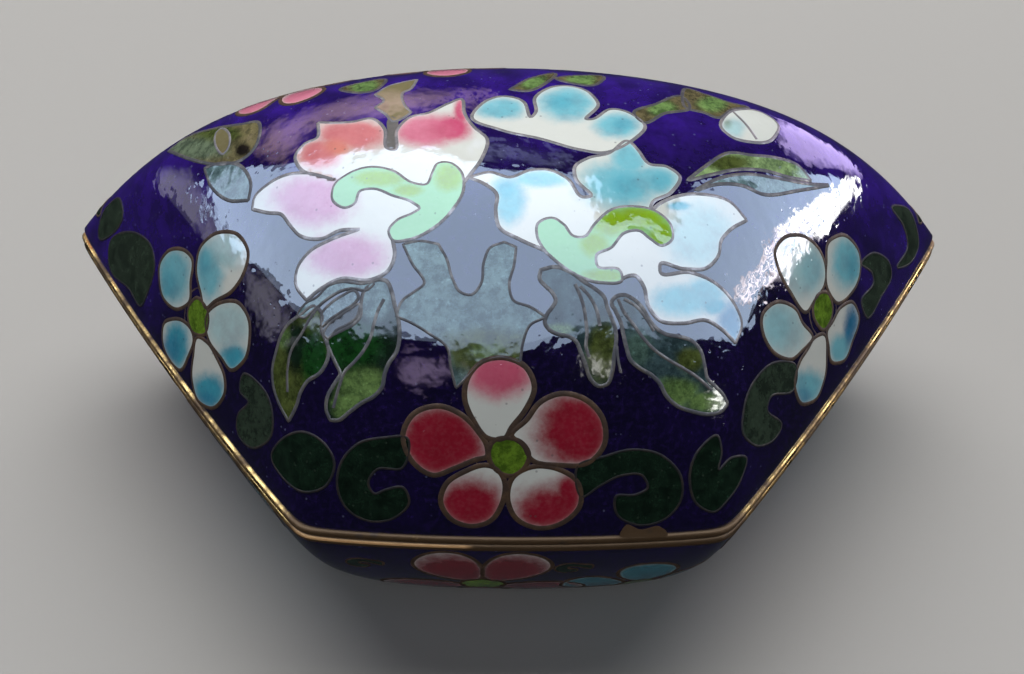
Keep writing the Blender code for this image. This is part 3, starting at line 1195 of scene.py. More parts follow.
BLUE_LIP = [
    (538, 237), (538, 224), (552, 218), (564, 225), (573, 236), (584, 237), (596, 223), (612, 209.5),
    (634, 206.5), (657, 212), (671, 226), (672, 239), (662, 245), (651, 238.5), (639, 230),
    (624, 232.5), (611, 247), (596, 255), (597, 266), (620, 271), (622, 279), (602, 282), (578, 275),
    (556, 260), (543, 247),
]
BLUE_LIP_DABS = [
    (LIME, (612, 222), (22, 14)), (LIME, (642, 217), (28, 12)), (LIME, (662, 234), (12, 14)),
    (LIME, (594, 244), (14, 12)), (LIME, (605, 276), (22, 7)),
]
draw_blossom(BLUE_BLOSSOM, BLUE_DABS, BLUE_LIP, BLUE_LIP_DABS)

# %% [markdown]
# ## Leaves and calyx
#
# Four dark leaves hang from the blossoms. A misty calyx of thinner enamel joins them in the middle,
# and three narrow sepals lie over the left pair.

# %% Leaves
LEAVES = [
    (
        [
            (314, 306), (300, 315), (289, 323), (281, 335), (276, 351), (272, 369), (273, 386),
            (278, 402), (288, 421, TIP), (296, 405), (300, 392), (307, 381), (319, 373), (326, 362),
            (328, 350), (325, 340), (321, 330), (322, 315),
        ],
        OLIVE_SHADE,
        [
            (DEEP_GREEN, (313, 356), (15, 26)), (FOREST, (296, 345), (10, 26)),
            (MOSS, (284, 338), (6, 10)),
        ],
        [[(320, 304), (310, 318), (301, 334), (291, 350), (287, 370), (287, 392)]],
    ),
    (
        [
            (371, 283), (377, 280), (386, 281), (391, 291), (394, 304), (398, 320), (399, 338),
            (396, 352), (388, 364), (384, 375), (382, 386), (375, 395), (361, 403), (349, 412),
            (338, 420), (330, 420, TIP), (326, 409), (328, 395), (335, 383), (340, 374), (336, 364),
            (330, 351), (327, 340), (340, 331), (352, 325), (360, 317), (361, 303), (364, 291),
        ],
        FOREST,
        [
            (MIST, (375, 300), (15, 20)), (DEEP_GREEN, (352, 345), (30, 24)),
            (MOSS, (364, 388), (26, 20)), (MOSS, (346, 405), (14, 14)),
        ],
        [
            [
                (384, 299), (378, 310), (374, 323), (370, 338), (363, 351), (354, 362), (345, 371),
                (339, 386), (333, 408),
            ],
        ],
    ),
    (
        [
            (541, 270, TIP), (540, 279), (546, 286), (553, 293), (556, 301), (552, 308), (547, 315),
            (545, 322), (549, 329), (558, 334), (568, 336), (576, 341), (581, 352), (586, 365),
            (591, 379), (599, 386), (607, 384), (612, 372), (614, 355), (616, 340), (615, 328),
            (611, 317), (607, 307), (604, 297), (595, 289), (584, 282), (570, 272), (555, 267),
        ],
        SLATE,
        [
            (SLATE, (574, 305), (20, 26)), (FOREST, (559, 309), (7, 19)),
            (OLIVE_SHADE, (603, 352), (16, 32)), (MOSS, (560, 329), (14, 6)),
            (FOREST, (602, 318), (8, 12)),
        ],
        [
            [(575, 284), (580, 295), (584, 308), (586, 321), (587, 334), (586, 346), (589, 357)],
            [(580, 286), (590, 297), (597, 311), (600, 326)],
        ],
    ),
    (
        [
            (612, 302), (616, 297), (624, 295), (633, 299), (641, 306), (649, 319), (656, 328),
            (665, 334), (680, 337), (692, 341), (701, 351), (705, 366), (708, 379), (716, 387),
            (724, 396), (728, 404, TIP), (722, 411), (708, 414), (692, 411), (678, 406), (667, 396),
            (660, 383), (652, 375), (640, 368), (631, 360), (627, 348), (624, 335), (621, 322),
            (616, 311),
        ],
        SLATE,
        [
            (FOREST, (628, 312), (8, 12)), (GREY_GREEN, (638, 348), (14, 16)),
            (OLIVE_SHADE, (690, 360), (14, 12)), (MOSS, (678, 392), (22, 14)),
            (MOSS, (704, 402), (18, 10)),
        ],
        [
            [
                (618, 299), (624, 312), (634, 325), (645, 340), (656, 351), (669, 360), (683, 368),
                (697, 377), (712, 390),
            ],
            [(624, 299), (636, 306), (646, 318), (654, 331)],
        ],
    ),
]
LEAF_WIRE = 0.00034
leaf_cells = Cells("leaf_cells")
leaf_wires = Wires("leaf_wires")
for marks, pale, dabs, veins in LEAVES:
    draw(marks, leaf_cells, pale, dabs, leaf_wires, LEAF_WIRE)
    for vein in veins:
        draw_line(vein, leaf_wires, LEAF_WIRE * 0.9)
STRAY_WIRE = [(617, 346), (618, 358), (621, 373)]
draw_line(STRAY_WIRE, leaf_wires, LEAF_WIRE * 0.6)

# %% Calyx and sepals
CALYX = [
    (396, 316, TIP), (402, 301), (414, 292), (424, 284), (412, 263), (403, 244, TIP), (420, 241),
    (438, 244, TIP), (446, 258), (452, 278), (460, 292), (471, 295), (481, 284), (484, 262), (490, 248),
    (504, 242, TIP), (516, 247, TIP), (514, 264), (509, 286), (513, 300), (530, 307), (546, 317, TIP),
    (530, 325), (523, 342), (520, 362, TIP), (500, 357), (480, 363), (466, 378), (456, 388, TIP),
    (451, 368), (447, 347), (430, 334), (412, 323),
]
SEPALS = [
    (
        [
            (305, 304), (317, 297), (328, 286), (341, 282), (360, 284), (374, 283), (366, 290),
            (352, 288), (340, 291), (328, 298), (318, 306), (304, 318, TIP), (298, 316),
        ],
        MIST,
    ),
    (
        [
            (355, 291), (342, 296), (330, 304), (322, 313), (321, 327, TIP), (330, 319), (342, 311),
            (353, 304), (358, 297),
        ],
        PALE_SLATE,
    ),
    (
        [
            (359, 304), (350, 309), (338, 317), (328, 325), (324, 335), (327, 338), (336, 330),
            (348, 324), (357, 316),
        ],
        UMBER,
    ),
]
MIST_DABS = [
    (MIST, (450, 280), (70, 40)), (OLIVE_SHADE, (488, 352), (52, 24)), (MOSS, (486, 350), (20, 10)),
]
mist_cells = Cells("calyx_cells")
SEPAL_LIFTS = (0.000008, 0.000004)
draw(CALYX, mist_cells, MIST, MIST_DABS, leaf_wires, LEAF_WIRE * 0.7)
for marks, tint in SEPALS:
    draw(marks, mist_cells, tint, (), leaf_wires, LEAF_WIRE * 0.8, SEPAL_LIFTS)

# %% [markdown]
# ## Flowers round the walls
#
# Five-petalled flowers stand on the walls. One petal could be turned five times, but the real ones
# were bent by hand and no two are alike, so each has its own outline. The petals are separate cells
# round a small green eye, their wires are thicker than those of the blossoms, and a dull brass collar
# lies between the petals and the eye, lower than both.

# %% Front flower
FRONT_PETALS = [
    (
        [
            (488, 438), (474, 421), (465, 398), (468, 378), (482, 362), (504, 358), (526, 368),
            (534, 387), (525, 410), (511, 428), (505, 438),
        ],
        [(ROSE, (499, 372), (34, 26))],
    ),
    (
        [
            (512, 436), (527, 420), (540, 403), (562, 394), (587, 401), (603, 420), (604, 445),
            (588, 463), (560, 465), (531, 459), (523, 445),
        ],
        [(CRIMSON, (580, 430), (46, 44))],
    ),
    (
        [
            (487, 448), (478, 432), (461, 415), (438, 406.5), (413, 415), (403, 436), (412, 461),
            (433, 475), (455, 468), (476, 459.5), (487, 456),
        ],
        [(CRIMSON, (440, 442), (52, 44))],
    ),
    (
        [
            (488, 466), (464, 472.5), (446, 485), (441, 502), (450, 518), (470, 526), (490, 521),
            (502, 503), (503, 478), (496, 469),
        ],
        [(CRIMSON, (468, 508), (42, 30))],
    ),
    (
        [
            (530, 468), (513, 478), (508, 498), (516, 518), (538, 528), (562, 523), (580, 505),
            (578, 483), (559, 470),
        ],
        [(CRIMSON, (556, 512), (46, 28)), (CRIMSON, (572, 492), (18, 20))],
    ),
]
FRONT_EYE = [
    (489, 450), (494, 441), (507, 438), (522, 443), (529, 455), (525, 467), (511, 476), (496, 470),
]
FLOWER_WIRE = 0.00046
RING_STEPS = 48
COLLAR_LIFT = -0.000026
EYE_LIFTS = (0.000004, 0.0)
flower_cells = Cells("wall_flower_cells")
eye_cells = Cells("wall_flower_eyes")
collar_cells = Cells("flower_collars")
flower_wires = Wires("wall_flower_wires")


def draw_flower(petals, eye, width, collar):
    """Petals and eye of a flower, over a collar of brass with two radii round the eye."""
    middle = np.mean([mark[:2] for mark in eye], axis=0)
    ring = middle + rays_at(np.linspace(0, 2 * np.pi, RING_STEPS, endpoint=False)) * collar
    collar_cells.add(ring, on_lid, UMBER, [], PHOTO_SPACING, PIXEL, COLLAR_LIFT)
    for marks, dabs in petals:
        draw(marks, flower_cells, WHITE, dabs, flower_wires, width)
    draw(eye, eye_cells, OLIVE, (), flower_wires, width, EYE_LIFTS)


draw_flower(FRONT_PETALS, FRONT_EYE, FLOWER_WIRE, (34, 33))

# %% Side flowers
LEFT_PETALS = [
    (
        [
            (200, 291), (196, 268), (201, 246), (217, 233), (236, 234), (247, 250), (243, 273),
            (230, 292), (213, 302), (206, 308),
        ],
        [
            (AQUA, (207, 270), (16, 30)), (TURQUOISE, (204, 262), (8, 16)),
            (PALE_AQUA, (225, 250), (20, 20)),
        ],
    ),
    (
        [
            (183, 250), (190, 256), (190, 282), (187, 304), (176, 309), (165, 301), (159, 280),
            (161, 260), (170, 250),
        ],
        [(AQUA, (172, 275), (20, 30)), (TURQUOISE, (166, 284), (12, 18))],
    ),
    (
        [
            (165, 322), (179, 319.5), (189, 327), (193, 338), (188, 356), (180, 370), (168, 358),
            (162, 338),
        ],
        [(TURQUOISE, (176, 345), (13, 26)), (SEA_BLUE, (170, 350), (10, 16))],
    ),
    (
        [
            (198, 337), (206, 342), (216, 358), (224, 378), (223, 396), (212, 408), (200, 403),
            (192, 382), (193, 356),
        ],
        [(TURQUOISE, (208, 394), (20, 20)), (SEA_BLUE, (206, 402), (12, 10))],
    ),
    (
        [
            (208, 312), (220, 303), (236, 302), (247, 316), (249, 338), (243, 361), (231, 370),
            (221, 358), (208, 339),
        ],
        [(ICE, (228, 325), (24, 24)), (TURQUOISE, (233, 358), (16, 16))],
    ),
]
LEFT_EYE = [(196, 298), (189, 306), (188, 320), (195, 334), (203, 335), (208, 322), (205, 306)]
RIGHT_PETALS = [
    (
        [
            (824, 287), (826, 268), (817, 246), (803, 236), (786, 237), (776, 250), (779, 268),
            (791, 292), (807, 312), (815, 300),
        ],
        [(PALE_AQUA, (804, 268), (24, 30)), (AQUA, (812, 270), (13, 20))],
    ),
    (
        [
            (829, 291), (827, 262), (830, 241), (843, 235), (857, 247), (861, 268), (854, 290),
            (838, 303),
        ],
        [(AQUA, (849, 262), (17, 27)), (TURQUOISE, (855, 266), (9, 18))],
    ),
    (
        [
            (833, 322), (842, 307), (852, 302), (859, 314), (853, 341), (842, 362), (834, 363),
            (829, 345), (828, 330),
        ],
        [(SEA_BLUE, (853, 334), (9, 30)), (AQUA, (841, 350), (12, 16))],
    ),
    (
        [
            (815, 338), (823, 334), (827, 358), (824, 382), (814, 401), (803, 404), (796, 390),
            (800, 363), (809, 348),
        ],
        [(AQUA, (808, 388), (20, 18)), (SEA_BLUE, (802, 396), (12, 10))],
    ),
    (
        [
            (813, 337), (803, 323), (796, 309), (778, 302), (764, 313), (765, 337), (778, 355),
            (792, 359), (803, 350),
        ],
        [(PALE_AQUA, (781, 328), (28, 30)), (AQUA, (777, 326), (18, 22))],
    ),
]
RIGHT_EYE = [(826, 292), (832, 302), (831, 320), (824, 330), (816, 321), (814, 305), (819, 294)]
draw_flower(LEFT_PETALS, LEFT_EYE, FLOWER_WIRE * 0.8, (14, 30))
draw_flower(RIGHT_PETALS, RIGHT_EYE, FLOWER_WIRE * 0.8, (14, 28))

# %% [markdown]
# ## Scrolls
#
# Between the flowers run comma-shaped scrolls of dark green, so deep that they almost vanish in the
# cobalt. Most are a band that rolls up into a round end. A spiral's formula would make them too even,
# so they are outlines too. Those at the sides get more light, so they are painted a little greener:
# a painted light.

# %% Scrolls on the lid
SCROLLS = [
    [
        (407, 438), (384, 438), (358, 444), (341, 463), (337, 484), (346, 508), (368, 521), (394, 518),
        (409, 502), (403, 488), (386, 490), (374, 494), (368, 484), (376, 470), (402, 468),
    ],
    [
        (578, 466), (604, 457), (632, 450), (662, 456), (681, 477), (681, 500), (665, 519), (638, 525),
        (617, 514), (616, 497), (636, 495), (648, 488), (643, 476), (622, 475.5), (600, 486),
        (582, 497),
    ],
    [
        (795, 364), (774, 363), (757, 378), (744, 412), (745, 436), (758, 446), (774, 440), (782, 424),
        (768, 411), (772, 396), (792, 392),
    ],
    [
        (718, 436), (698, 452), (690, 480), (698, 505), (714, 512), (728, 500), (742, 478), (746, 457),
        (732, 458), (719, 470), (722, 452),
    ],
    [
        (243, 374), (262, 388), (272, 415), (268, 440), (252, 448), (239, 437), (238, 414), (248, 402),
        (240, 392),
    ],
    [(300, 432), (282, 439), (271, 455), (281, 476), (304, 492), (324, 487), (334, 464), (322, 442)],
    [
        (862, 264), (874, 253), (888, 260), (892, 275), (882, 296), (868, 318), (862, 300), (874, 283),
        (872, 272),
    ],
    [(893, 206), (906, 207), (917, 228), (918, 250), (908, 265), (898, 268), (908, 248), (904, 226)],
    [
        (108, 256), (112, 238), (130, 232), (148, 242), (154, 262), (148, 290), (140, 306), (128, 288),
        (112, 274),
    ],
    [(104, 210), (118, 198), (122, 218), (112, 234), (101, 240)],
]
SCROLL_WIRE = 0.00022
MIDDLE_REACH = 230
scroll_wires = Wires("scroll_wires")
for marks in SCROLLS:
    from_middle = abs(np.mean([mark[0] for mark in marks]) - PHOTO_WIDTH / 2)
    # Scrolls away from the middle take the lighter green as painted light.
    scroll_tint = BOTTLE if from_middle > MIDDLE_REACH else FOREST
    draw(marks, leaf_cells, scroll_tint, (), scroll_wires, SCROLL_WIRE, coarse=1.3)

# %% [markdown]
# At one place in front the gilder's brush has slipped over the rim. The smear is a thin cell with the
# rim's own finish.

# %% Smear of gilding
SMEAR = [(627, 525), (640, 530), (660, 527), (668, 534), (640, 537), (620, 536)]
smear_cells = Cells("gilding_smear")
draw(SMEAR, smear_cells, UMBER, lifts=(0.000006, 0.0))

# %% [markdown]
# ## The far side of the crown
#
# Near the horizon of the view lie a small turquoise flower, a bud, grey-green leaves and brown stems.
# They are drawn like the rest. A sight line that would pass over the lid stops where it comes closest,
# so the stems are kept just under the horizon.

# %% Far flower and bud
FAR_FLOWER = [
    (472, 116), (484, 102), (505, 96), (524, 102), (531, 117), (536, 112), (535, 98), (548, 88),
    (568, 85.5), (590, 93), (598, 104), (586, 119), (592, 119), (610, 109), (632, 114), (645, 126),
    (632, 140), (604, 152), (580, 149), (540, 138), (500, 129),
]
FAR_DABS = [
    (AQUA, (500, 108), (26, 11)),
    (AQUA, (567, 103), (30, 17)),
    (TURQUOISE, (562, 102), (14, 8)),
    (AQUA, (618, 125), (24, 13)),
    (TURQUOISE, (622, 124), (12, 7)),
]
BUD = [(721, 125), (728, 113), (744, 109), (764, 113), (779, 127), (772, 139), (748, 141), (730, 135)]
BUD_DABS = [(PALE_AQUA, (733, 128), (12, 10)), (LICHEN, (728, 124), (5, 5))]
BUD_LINE = [(733, 111), (746, 124), (757, 139)]
draw(FAR_FLOWER, blossom_cells, WHITE, FAR_DABS, blossom_wires, BLOSSOM_WIRE)
draw(BUD, blossom_cells, WHITE, BUD_DABS, blossom_wires, BLOSSOM_WIRE)
draw_line(BUD_LINE, blossom_wires, BLOSSOM_WIRE)

# %% Stems and far leaves
STEMS = [
    [(510, 89, TIP), (530, 78), (556, 74), (548, 81), (530, 90)],
    [(556, 78), (578, 75), (604, 78), (598, 83), (574, 83)],
    [(634, 113), (655, 104), (684, 97), (690, 106), (664, 113), (643, 122)],
    [(684, 89), (706, 94), (730, 102), (749, 107), (732, 109), (720, 117), (704, 112), (684, 105)],
    [(340, 89), (362, 82), (386, 80), (378, 88), (356, 92)],
]
FAR_LEAVES = [
    (
        [
            (688, 180, TIP), (706, 166), (728, 153), (752, 155), (778, 158), (798, 165),
            (812, 181, TIP), (790, 177), (764, 170), (738, 169), (712, 174),
        ],
        FERN,
        [(OLIVE_SHADE, (728, 163), (26, 8)), (FERN, (780, 166), (30, 9))],
    ),
    (
        [
            (696, 190, TIP), (720, 178), (746, 174), (776, 178), (810, 184), (830, 185, TIP),
            (800, 190), (764, 194), (742, 185), (716, 184),
        ],
        MIST, [(MIST, (760, 182), (40, 12))],
    ),
    (
        [
            (168, 150, TIP), (186, 137), (214, 128), (240, 124), (258, 122), (256, 144), (240, 160),
            (222, 164), (194, 160),
        ],
        BEIGE,
        [
            (LICHEN, (196, 148), (30, 12)), (OLIVE_SHADE, (216, 134), (24, 8)),
            (UMBER, (243, 150), (8, 6)),
        ],
    ),
    (
        [(204, 168, TIP), (220, 163), (240, 166), (250, 182), (248, 200, TIP), (228, 200), (212, 188)],
        MIST, [(MIST, (230, 184), (20, 16))],
    ),
]
BEIGE_STEMS = [
    [
        (375, 94, TIP), (388, 86), (402, 82), (417, 79, TIP), (411, 88), (402, 93), (404, 104),
        (411, 112, TIP), (402, 118), (393, 121), (386, 114), (375, 107, TIP), (384, 100),
    ],
    [(217, 131), (222, 128), (227, 131), (227, 149), (222, 154), (217, 149)],
]
NOTCH = [
    (388, 119), (392, 116), (397, 119), (396.5, 135), (396, 147), (392, 150.5), (388, 147),
    (387.5, 133),
]
BEIGE_DABS = [(STEM_BROWN, (380, 106), (8, 6))]
STEM_LIFTS = (0.000006, 0.000006)
for marks in BEIGE_STEMS:
    draw(marks, blossom_cells, BEIGE, BEIGE_DABS, blossom_wires, BLOSSOM_WIRE * 0.8, STEM_LIFTS)
draw(NOTCH, blossom_cells, PEWTER)
for marks in STEMS:
    stem_dabs = [(MOSS, smooth(marks, LINE_STEP).mean(axis=0), (14, 8))]
    draw(marks, leaf_cells, STEM_BROWN, stem_dabs, leaf_wires, LEAF_WIRE)
for marks, pale, dabs in FAR_LEAVES:
    draw(marks, leaf_cells, pale, dabs, leaf_wires, LEAF_WIRE)

# %% [markdown]
# ## The back wall and the bowl
#
# The back wall and most of the bowl are out of the camera's sight. They get flowers and scrolls of
# the same kinds, drawn on sheets in metres: a petal is an egg, broader at its outer end, and the
# scroll's outline is the same comma each time, turned over or round.

# %% Petals and eyes on a sheet
EGG_STEPS = 72
EGG_SKEW = 0.28
EYE_STEPS = 36
PETAL_BASE = 0.22
PETAL_WIDTH = 0.68
WASH_END = 1.2
SHEET_WIRE = FLOWER_WIRE * 0.85


def egg(length, width, base, angle):
    """A petal's outline: an egg along one direction from the flower's middle.

    Along it, base + length * (1 - cos t) / 2. Across it, width / 2 * sin t * (1 - skew * cos t).
    """
    t = np.linspace(0, 2 * np.pi, EGG_STEPS, endpoint=False)
    along = base + length * (1 - np.cos(t)) / 2
    across = width / 2 * np.sin(t) * (1 - EGG_SKEW * np.cos(t))
    turn = np.radians(angle)
    return np.column_stack([
        along * np.cos(turn) - across * np.sin(turn),
        along * np.sin(turn) + across * np.cos(turn),
    ])


UPRIGHT_PETALS = [90, 162, 234, 306, 18]
SPREAD_PETALS = [62, 118, 196, 270, 344]


def sheet_flower(press, size, wash_tint, angles, into, covered=0.42, length=0.78):
    """Petals at angles and an eye on a sheet, about size metres from the middle to the petals' ends.

    A petal is length * size long. The wash reaches covered * size round a place near its outer end.
    """
    cells, eyes, wires = into
    for angle in angles:
        petal_egg = egg(size * length, size * PETAL_WIDTH, size * PETAL_BASE, angle)
        petal_line = even_steps(petal_egg, SHEET_STEP)
        heading = rays_at(np.radians([angle]))[0]
        dab = (wash_tint, heading * size * (WASH_END - covered), (size * covered, size * covered))
        cells.add(petal_line, press, WHITE, [dab], SHEET_SPACING, 1.0)
        wires.add(petal_line, press, SHEET_WIRE)
    circle = rays_at(np.linspace(0, 2 * np.pi, EYE_STEPS, endpoint=False)) * size / 4
    eye_line = even_steps(circle, SHEET_STEP)
    eyes.add(eye_line, press, OLIVE, [], SHEET_SPACING, 1.0, EYE_LIFTS[0])
    wires.add(eye_line, press, SHEET_WIRE)


# %% Scrolls on a sheet
COMMA = [
    (0.0, 0.0), (2.3, 0.7), (4.8, 1.3), (7.2, 0.6), (8.6, -1.2), (8.4, -3.4), (6.8, -4.8), (4.6, -4.6),
    (3.3, -3.6), (3.6, -2.4), (5.0, -2.3), (5.7, -1.5), (5.0, -0.8), (3.2, -0.9), (1.6, -1.7),
    (0.2, -2.4),
]
COMMA_MIDDLE = (4.3, -1.8)


def sheet_scroll(press, size, flipped, into):
    """The comma on a sheet, size metres per unit, mirrored if flipped."""
    cells, wires = into
    marks = (np.array(COMMA) - COMMA_MIDDLE) * [(-size if flipped else size), size]
    comma_line = smooth(marks.tolist(), SHEET_STEP)
    cells.add(comma_line, press, FOREST, [], SHEET_SPACING * 1.4, 1.0)
    wires.add(comma_line, press, SCROLL_WIRE)


# %% Back wall of the lid
back_cells = Cells("back_flower_cells")
back_eyes = Cells("back_flower_eyes")
back_scrolls = Cells("back_scroll_cells")
back_wires = Wires("back_wires")
BACK_FLOWERS = [
    (29.3, 0.0240, TURQUOISE), (54.6, 0.0240, ROSE), (90, 0.0240, TURQUOISE), (125.4, 0.0238, ROSE),
    (150.7, 0.0238, TURQUOISE), (117.3, 0.0336, PINK), (154.3, 0.0330, PINK),
]
BACK_FLOWER_SIZE = 0.0053
UPPER_SCROLLS = [36, 68]
UPPER_HEIGHT = 0.0296
UPPER_SIZE = 0.00062
LOWER_SCROLLS = [14, 44, 72, 108, 136, 166]
LOWER_HEIGHT = 0.0206
LOWER_SIZE = 0.00040
for angle, height, tint in BACK_FLOWERS:
    press = sheet(dome_section, above_dome, angle, height)
    sheet_flower(press, BACK_FLOWER_SIZE, tint, UPRIGHT_PETALS, (back_cells, back_eyes, back_wires))
for angle in UPPER_SCROLLS:
    press = sheet(dome_section, above_dome, angle, UPPER_HEIGHT, 180)
    sheet_scroll(press, UPPER_SIZE, True, (back_scrolls, back_wires))
for angle in LOWER_SCROLLS:
    press = sheet(dome_section, above_dome, angle, LOWER_HEIGHT)
    sheet_scroll(press, LOWER_SIZE, angle > 90, (back_scrolls, back_wires))

# %% Bowl
bowl_cells = Cells("bowl_flower_cells")
bowl_eyes = Cells("bowl_flower_eyes")
bowl_scrolls = Cells("bowl_scroll_cells")
bowl_wires = Wires("bowl_wires")
# The bowl's crimson and turquoise are darker than the lid's: painted shade for the bowl, which lies in
# shade under the lid.
PAINTED_SHADE_CRIMSON = (0.15, 0.010, 0.018)
PAINTED_SHADE_TURQUOISE = (0.030, 0.160, 0.210)
WIDE = 0.0074
NARROW = 0.0063
BOWL_FLOWERS = [
    (-96, WIDE, PAINTED_SHADE_CRIMSON), (-36, WIDE, PAINTED_SHADE_CRIMSON), (0, WIDE, PAINTED_SHADE_TURQUOISE),
    (36, NARROW, PAINTED_SHADE_CRIMSON), (69.5, NARROW, PAINTED_SHADE_TURQUOISE), (110.5, NARROW, PAINTED_SHADE_CRIMSON),
    (144, NARROW, PAINTED_SHADE_TURQUOISE), (180, WIDE, PAINTED_SHADE_CRIMSON), (216, WIDE, PAINTED_SHADE_TURQUOISE),
]
BOWL_FLOWER_HEIGHT = 0.0071
BOWL_SCROLLS = [-116, -79, -50, -18, 54, 90, 126, 198]
BOWL_SCROLL_HEIGHT = 0.0118
BOWL_SCROLL_SIZE = 0.00034
bowl_flower = (bowl_cells, bowl_eyes, bowl_wires)
for angle, reach, tint in BOWL_FLOWERS:
    press = sheet(bowl_section, below_bowl, angle, BOWL_FLOWER_HEIGHT)
    sheet_flower(press, reach, tint, SPREAD_PETALS, bowl_flower, covered=0.66, length=0.96)

# One flower in front stands lower and upright, as the photograph shows it.
press = sheet(bowl_section, below_bowl, -64, 0.0056)
sheet_flower(press, 0.0069, PAINTED_SHADE_TURQUOISE, UPRIGHT_PETALS, bowl_flower, covered=0.66)
for angle in BOWL_SCROLLS:
    press = sheet(bowl_section, below_bowl, angle, BOWL_SCROLL_HEIGHT)
    sheet_scroll(press, BOWL_SCROLL_SIZE, angle < 80, (bowl_scrolls, bowl_wires))

# %% [markdown]
# All outlines are drawn, so each set of cells or wires becomes one piece with its finish.

# %% Gather the cells and wires
for cells in (blossom_cells, lip_cells, flower_cells, back_cells):
    cells.finish(PETAL_ENAMEL, "lid_enamel")
for cells in (eye_cells, back_eyes, leaf_cells, mist_cells, back_scrolls):
    cells.finish(LEAF_ENAMEL, "lid_enamel")
collar_cells.finish(BROWN_WIRE, "gilt_brass")
smear_cells.finish(RIM_GILT, "gilt_brass")
bowl_cells.finish(PETAL_ENAMEL, "base_enamel")
bowl_eyes.finish(LEAF_ENAMEL, "base_enamel")
bowl_scrolls.finish(LEAF_ENAMEL, "base_enamel")
blossom_wires.finish(PALE_WIRE)
leaf_wires.finish(LEAF_BRASS)
scroll_wires.finish(SCROLL_BRASS)
for wires in (flower_wires, back_wires, bowl_wires):
    wires.finish(BROWN_WIRE)

# %% [markdown]
# ## Floor and light
#
# The photograph was taken by daylight that comes from above and behind, and the front lies in shade.
# A photographer balances the lamps that light the colours apart from the cards that the gloss
# mirrors. The lamps come first: a large one like a window, and a weak one in front to fill the shade.

# %% Floor
FLOOR_SIZE = 3.0
floor_paint = Paint("pale_floor")
floor_cloud = floor_paint.step(floor_paint.noise(0.25, 2.0), 0.3, 0.7)
FLOOR_MATERIAL = floor_paint.finish(
    Base_Color=floor_paint.mix(floor_cloud, (0.34, 0.335, 0.33), (0.37, 0.365, 0.36)),
    Roughness=0.9,
    Specular_IOR_Level=0.0,
)
corners = np.array([[-1, -1, 0], [1, -1, 0], [1, 1, 0], [-1, 1, 0]]) * FLOOR_SIZE / 2
floor_mesh = bpy.data.meshes.new("floor")
floor_mesh.from_pydata(corners.tolist(), [], [[0, 1, 2, 3]])
floor_mesh.materials.append(FLOOR_MATERIAL)
floor = bpy.data.objects.new("floor", floor_mesh)
bpy.context.scene.collection.objects.link(floor)
floor.visible_glossy = False


# %% Lights
def soft_light(name, place, size, radiance, tint):
    """A rectangular lamp at place, turned towards the origin, that gloss does not show."""
    data = bpy.data.lights.new(name, "AREA")
    data.shape = "RECTANGLE"
    data.size, data.size_y = size
    data.energy = radiance * np.pi * size[0] * size[1]
    data.color = tint
    light = bpy.data.objects.new(name, data)
    back = np.array(place) / np.linalg.norm(place)
    side = np.cross([0.0, 0.0, 1.0], back)
    side /= np.linalg.norm(side)
    up = np.cross(back, side)
    light.matrix_world = Matrix([
        [side[row], up[row], back[row], place[row]] for row in range(3)
    ] + [[0.0, 0.0, 0.0, 1.0]])
    light.visible_glossy = False
    bpy.context.scene.collection.objects.link(light)


DAY_TINT = (1.0, 0.985, 0.96)
soft_light("day_lamp", (0.0, 0.30, 0.55), (0.9, 0.6), 4.5, DAY_TINT)
soft_light("front_fill", (0.0, -0.7, 0.55), (1.2, 0.8), 0.65, (0.96, 0.98, 1.0))

# %% [markdown]
# ## What the gloss mirrors
#
# A photographer lays white cards round a glossy object and shapes each highlight with them. Here the
# outline of a highlight is drawn in the photograph, each of its sight lines is mirrored at the lid,
# and the card is spread out where the mirrored lines end. The cards glow, most of them fade at the
# rim, and they are seen in gloss alone.

# %% Cards for the highlights
CARD_REACH = 1.2
CARD_SPACING = 6.0
CARD_LOWEST = 0.003
RIM_STEP = 2.0
HARD_RIM = 0.01


def glowing(name, tint, radiance):
    """A card's material: black, with a glow that its vertices dim towards the rim."""
    card = Paint(name + "_glow")
    return card.finish(
        Base_Color=(0.0, 0.0, 0.0, 1.0),
        Specular_IOR_Level=0.0,
        Emission_Color=card.mix(card.attribute("glow", "Fac"), (0.0, 0.0, 0.0), tint),
        Emission_Strength=radiance,
    )


def mirror_card(name, marks, tint, radiance, fade=0.0):
    """A card that the camera sees mirrored inside an outline, its glow rising over fade pixels.

    A sight line d leaves the lid along d - 2 (d . n) n, with n the lid's normal.
    """
    flat, triangles, _ = lattice_fill(smooth(marks, CARD_SPACING), CARD_SPACING)
    points, normals = on_lid(flat)
    rays = sight_lines(flat)
    leaving = rays - 2 * (rays * normals).sum(axis=1)[:, None] * normals
    ends = points + CARD_REACH * leaving
    ends[:, 2] = np.maximum(ends[:, 2], CARD_LOWEST)
    mesh = bpy.data.meshes.new(name)
    mesh.from_pydata(ends.tolist(), [], triangles.tolist())
    glow = mesh.attributes.new("glow", "FLOAT", "POINT")
    rim_distance = nearest(flat, smooth(marks, RIM_STEP))
    shares = np.clip((rim_distance + HARD_RIM) / (fade + HARD_RIM), 0.0, 1.0)
    glow.data.foreach_set("value", shares.astype(np.float32))
    mesh.materials.append(glowing(name, tint, radiance))
    card = bpy.data.objects.new(name, mesh)
    card.visible_camera = False
    card.visible_diffuse = False
    card.visible_shadow = False
    bpy.context.scene.collection.objects.link(card)


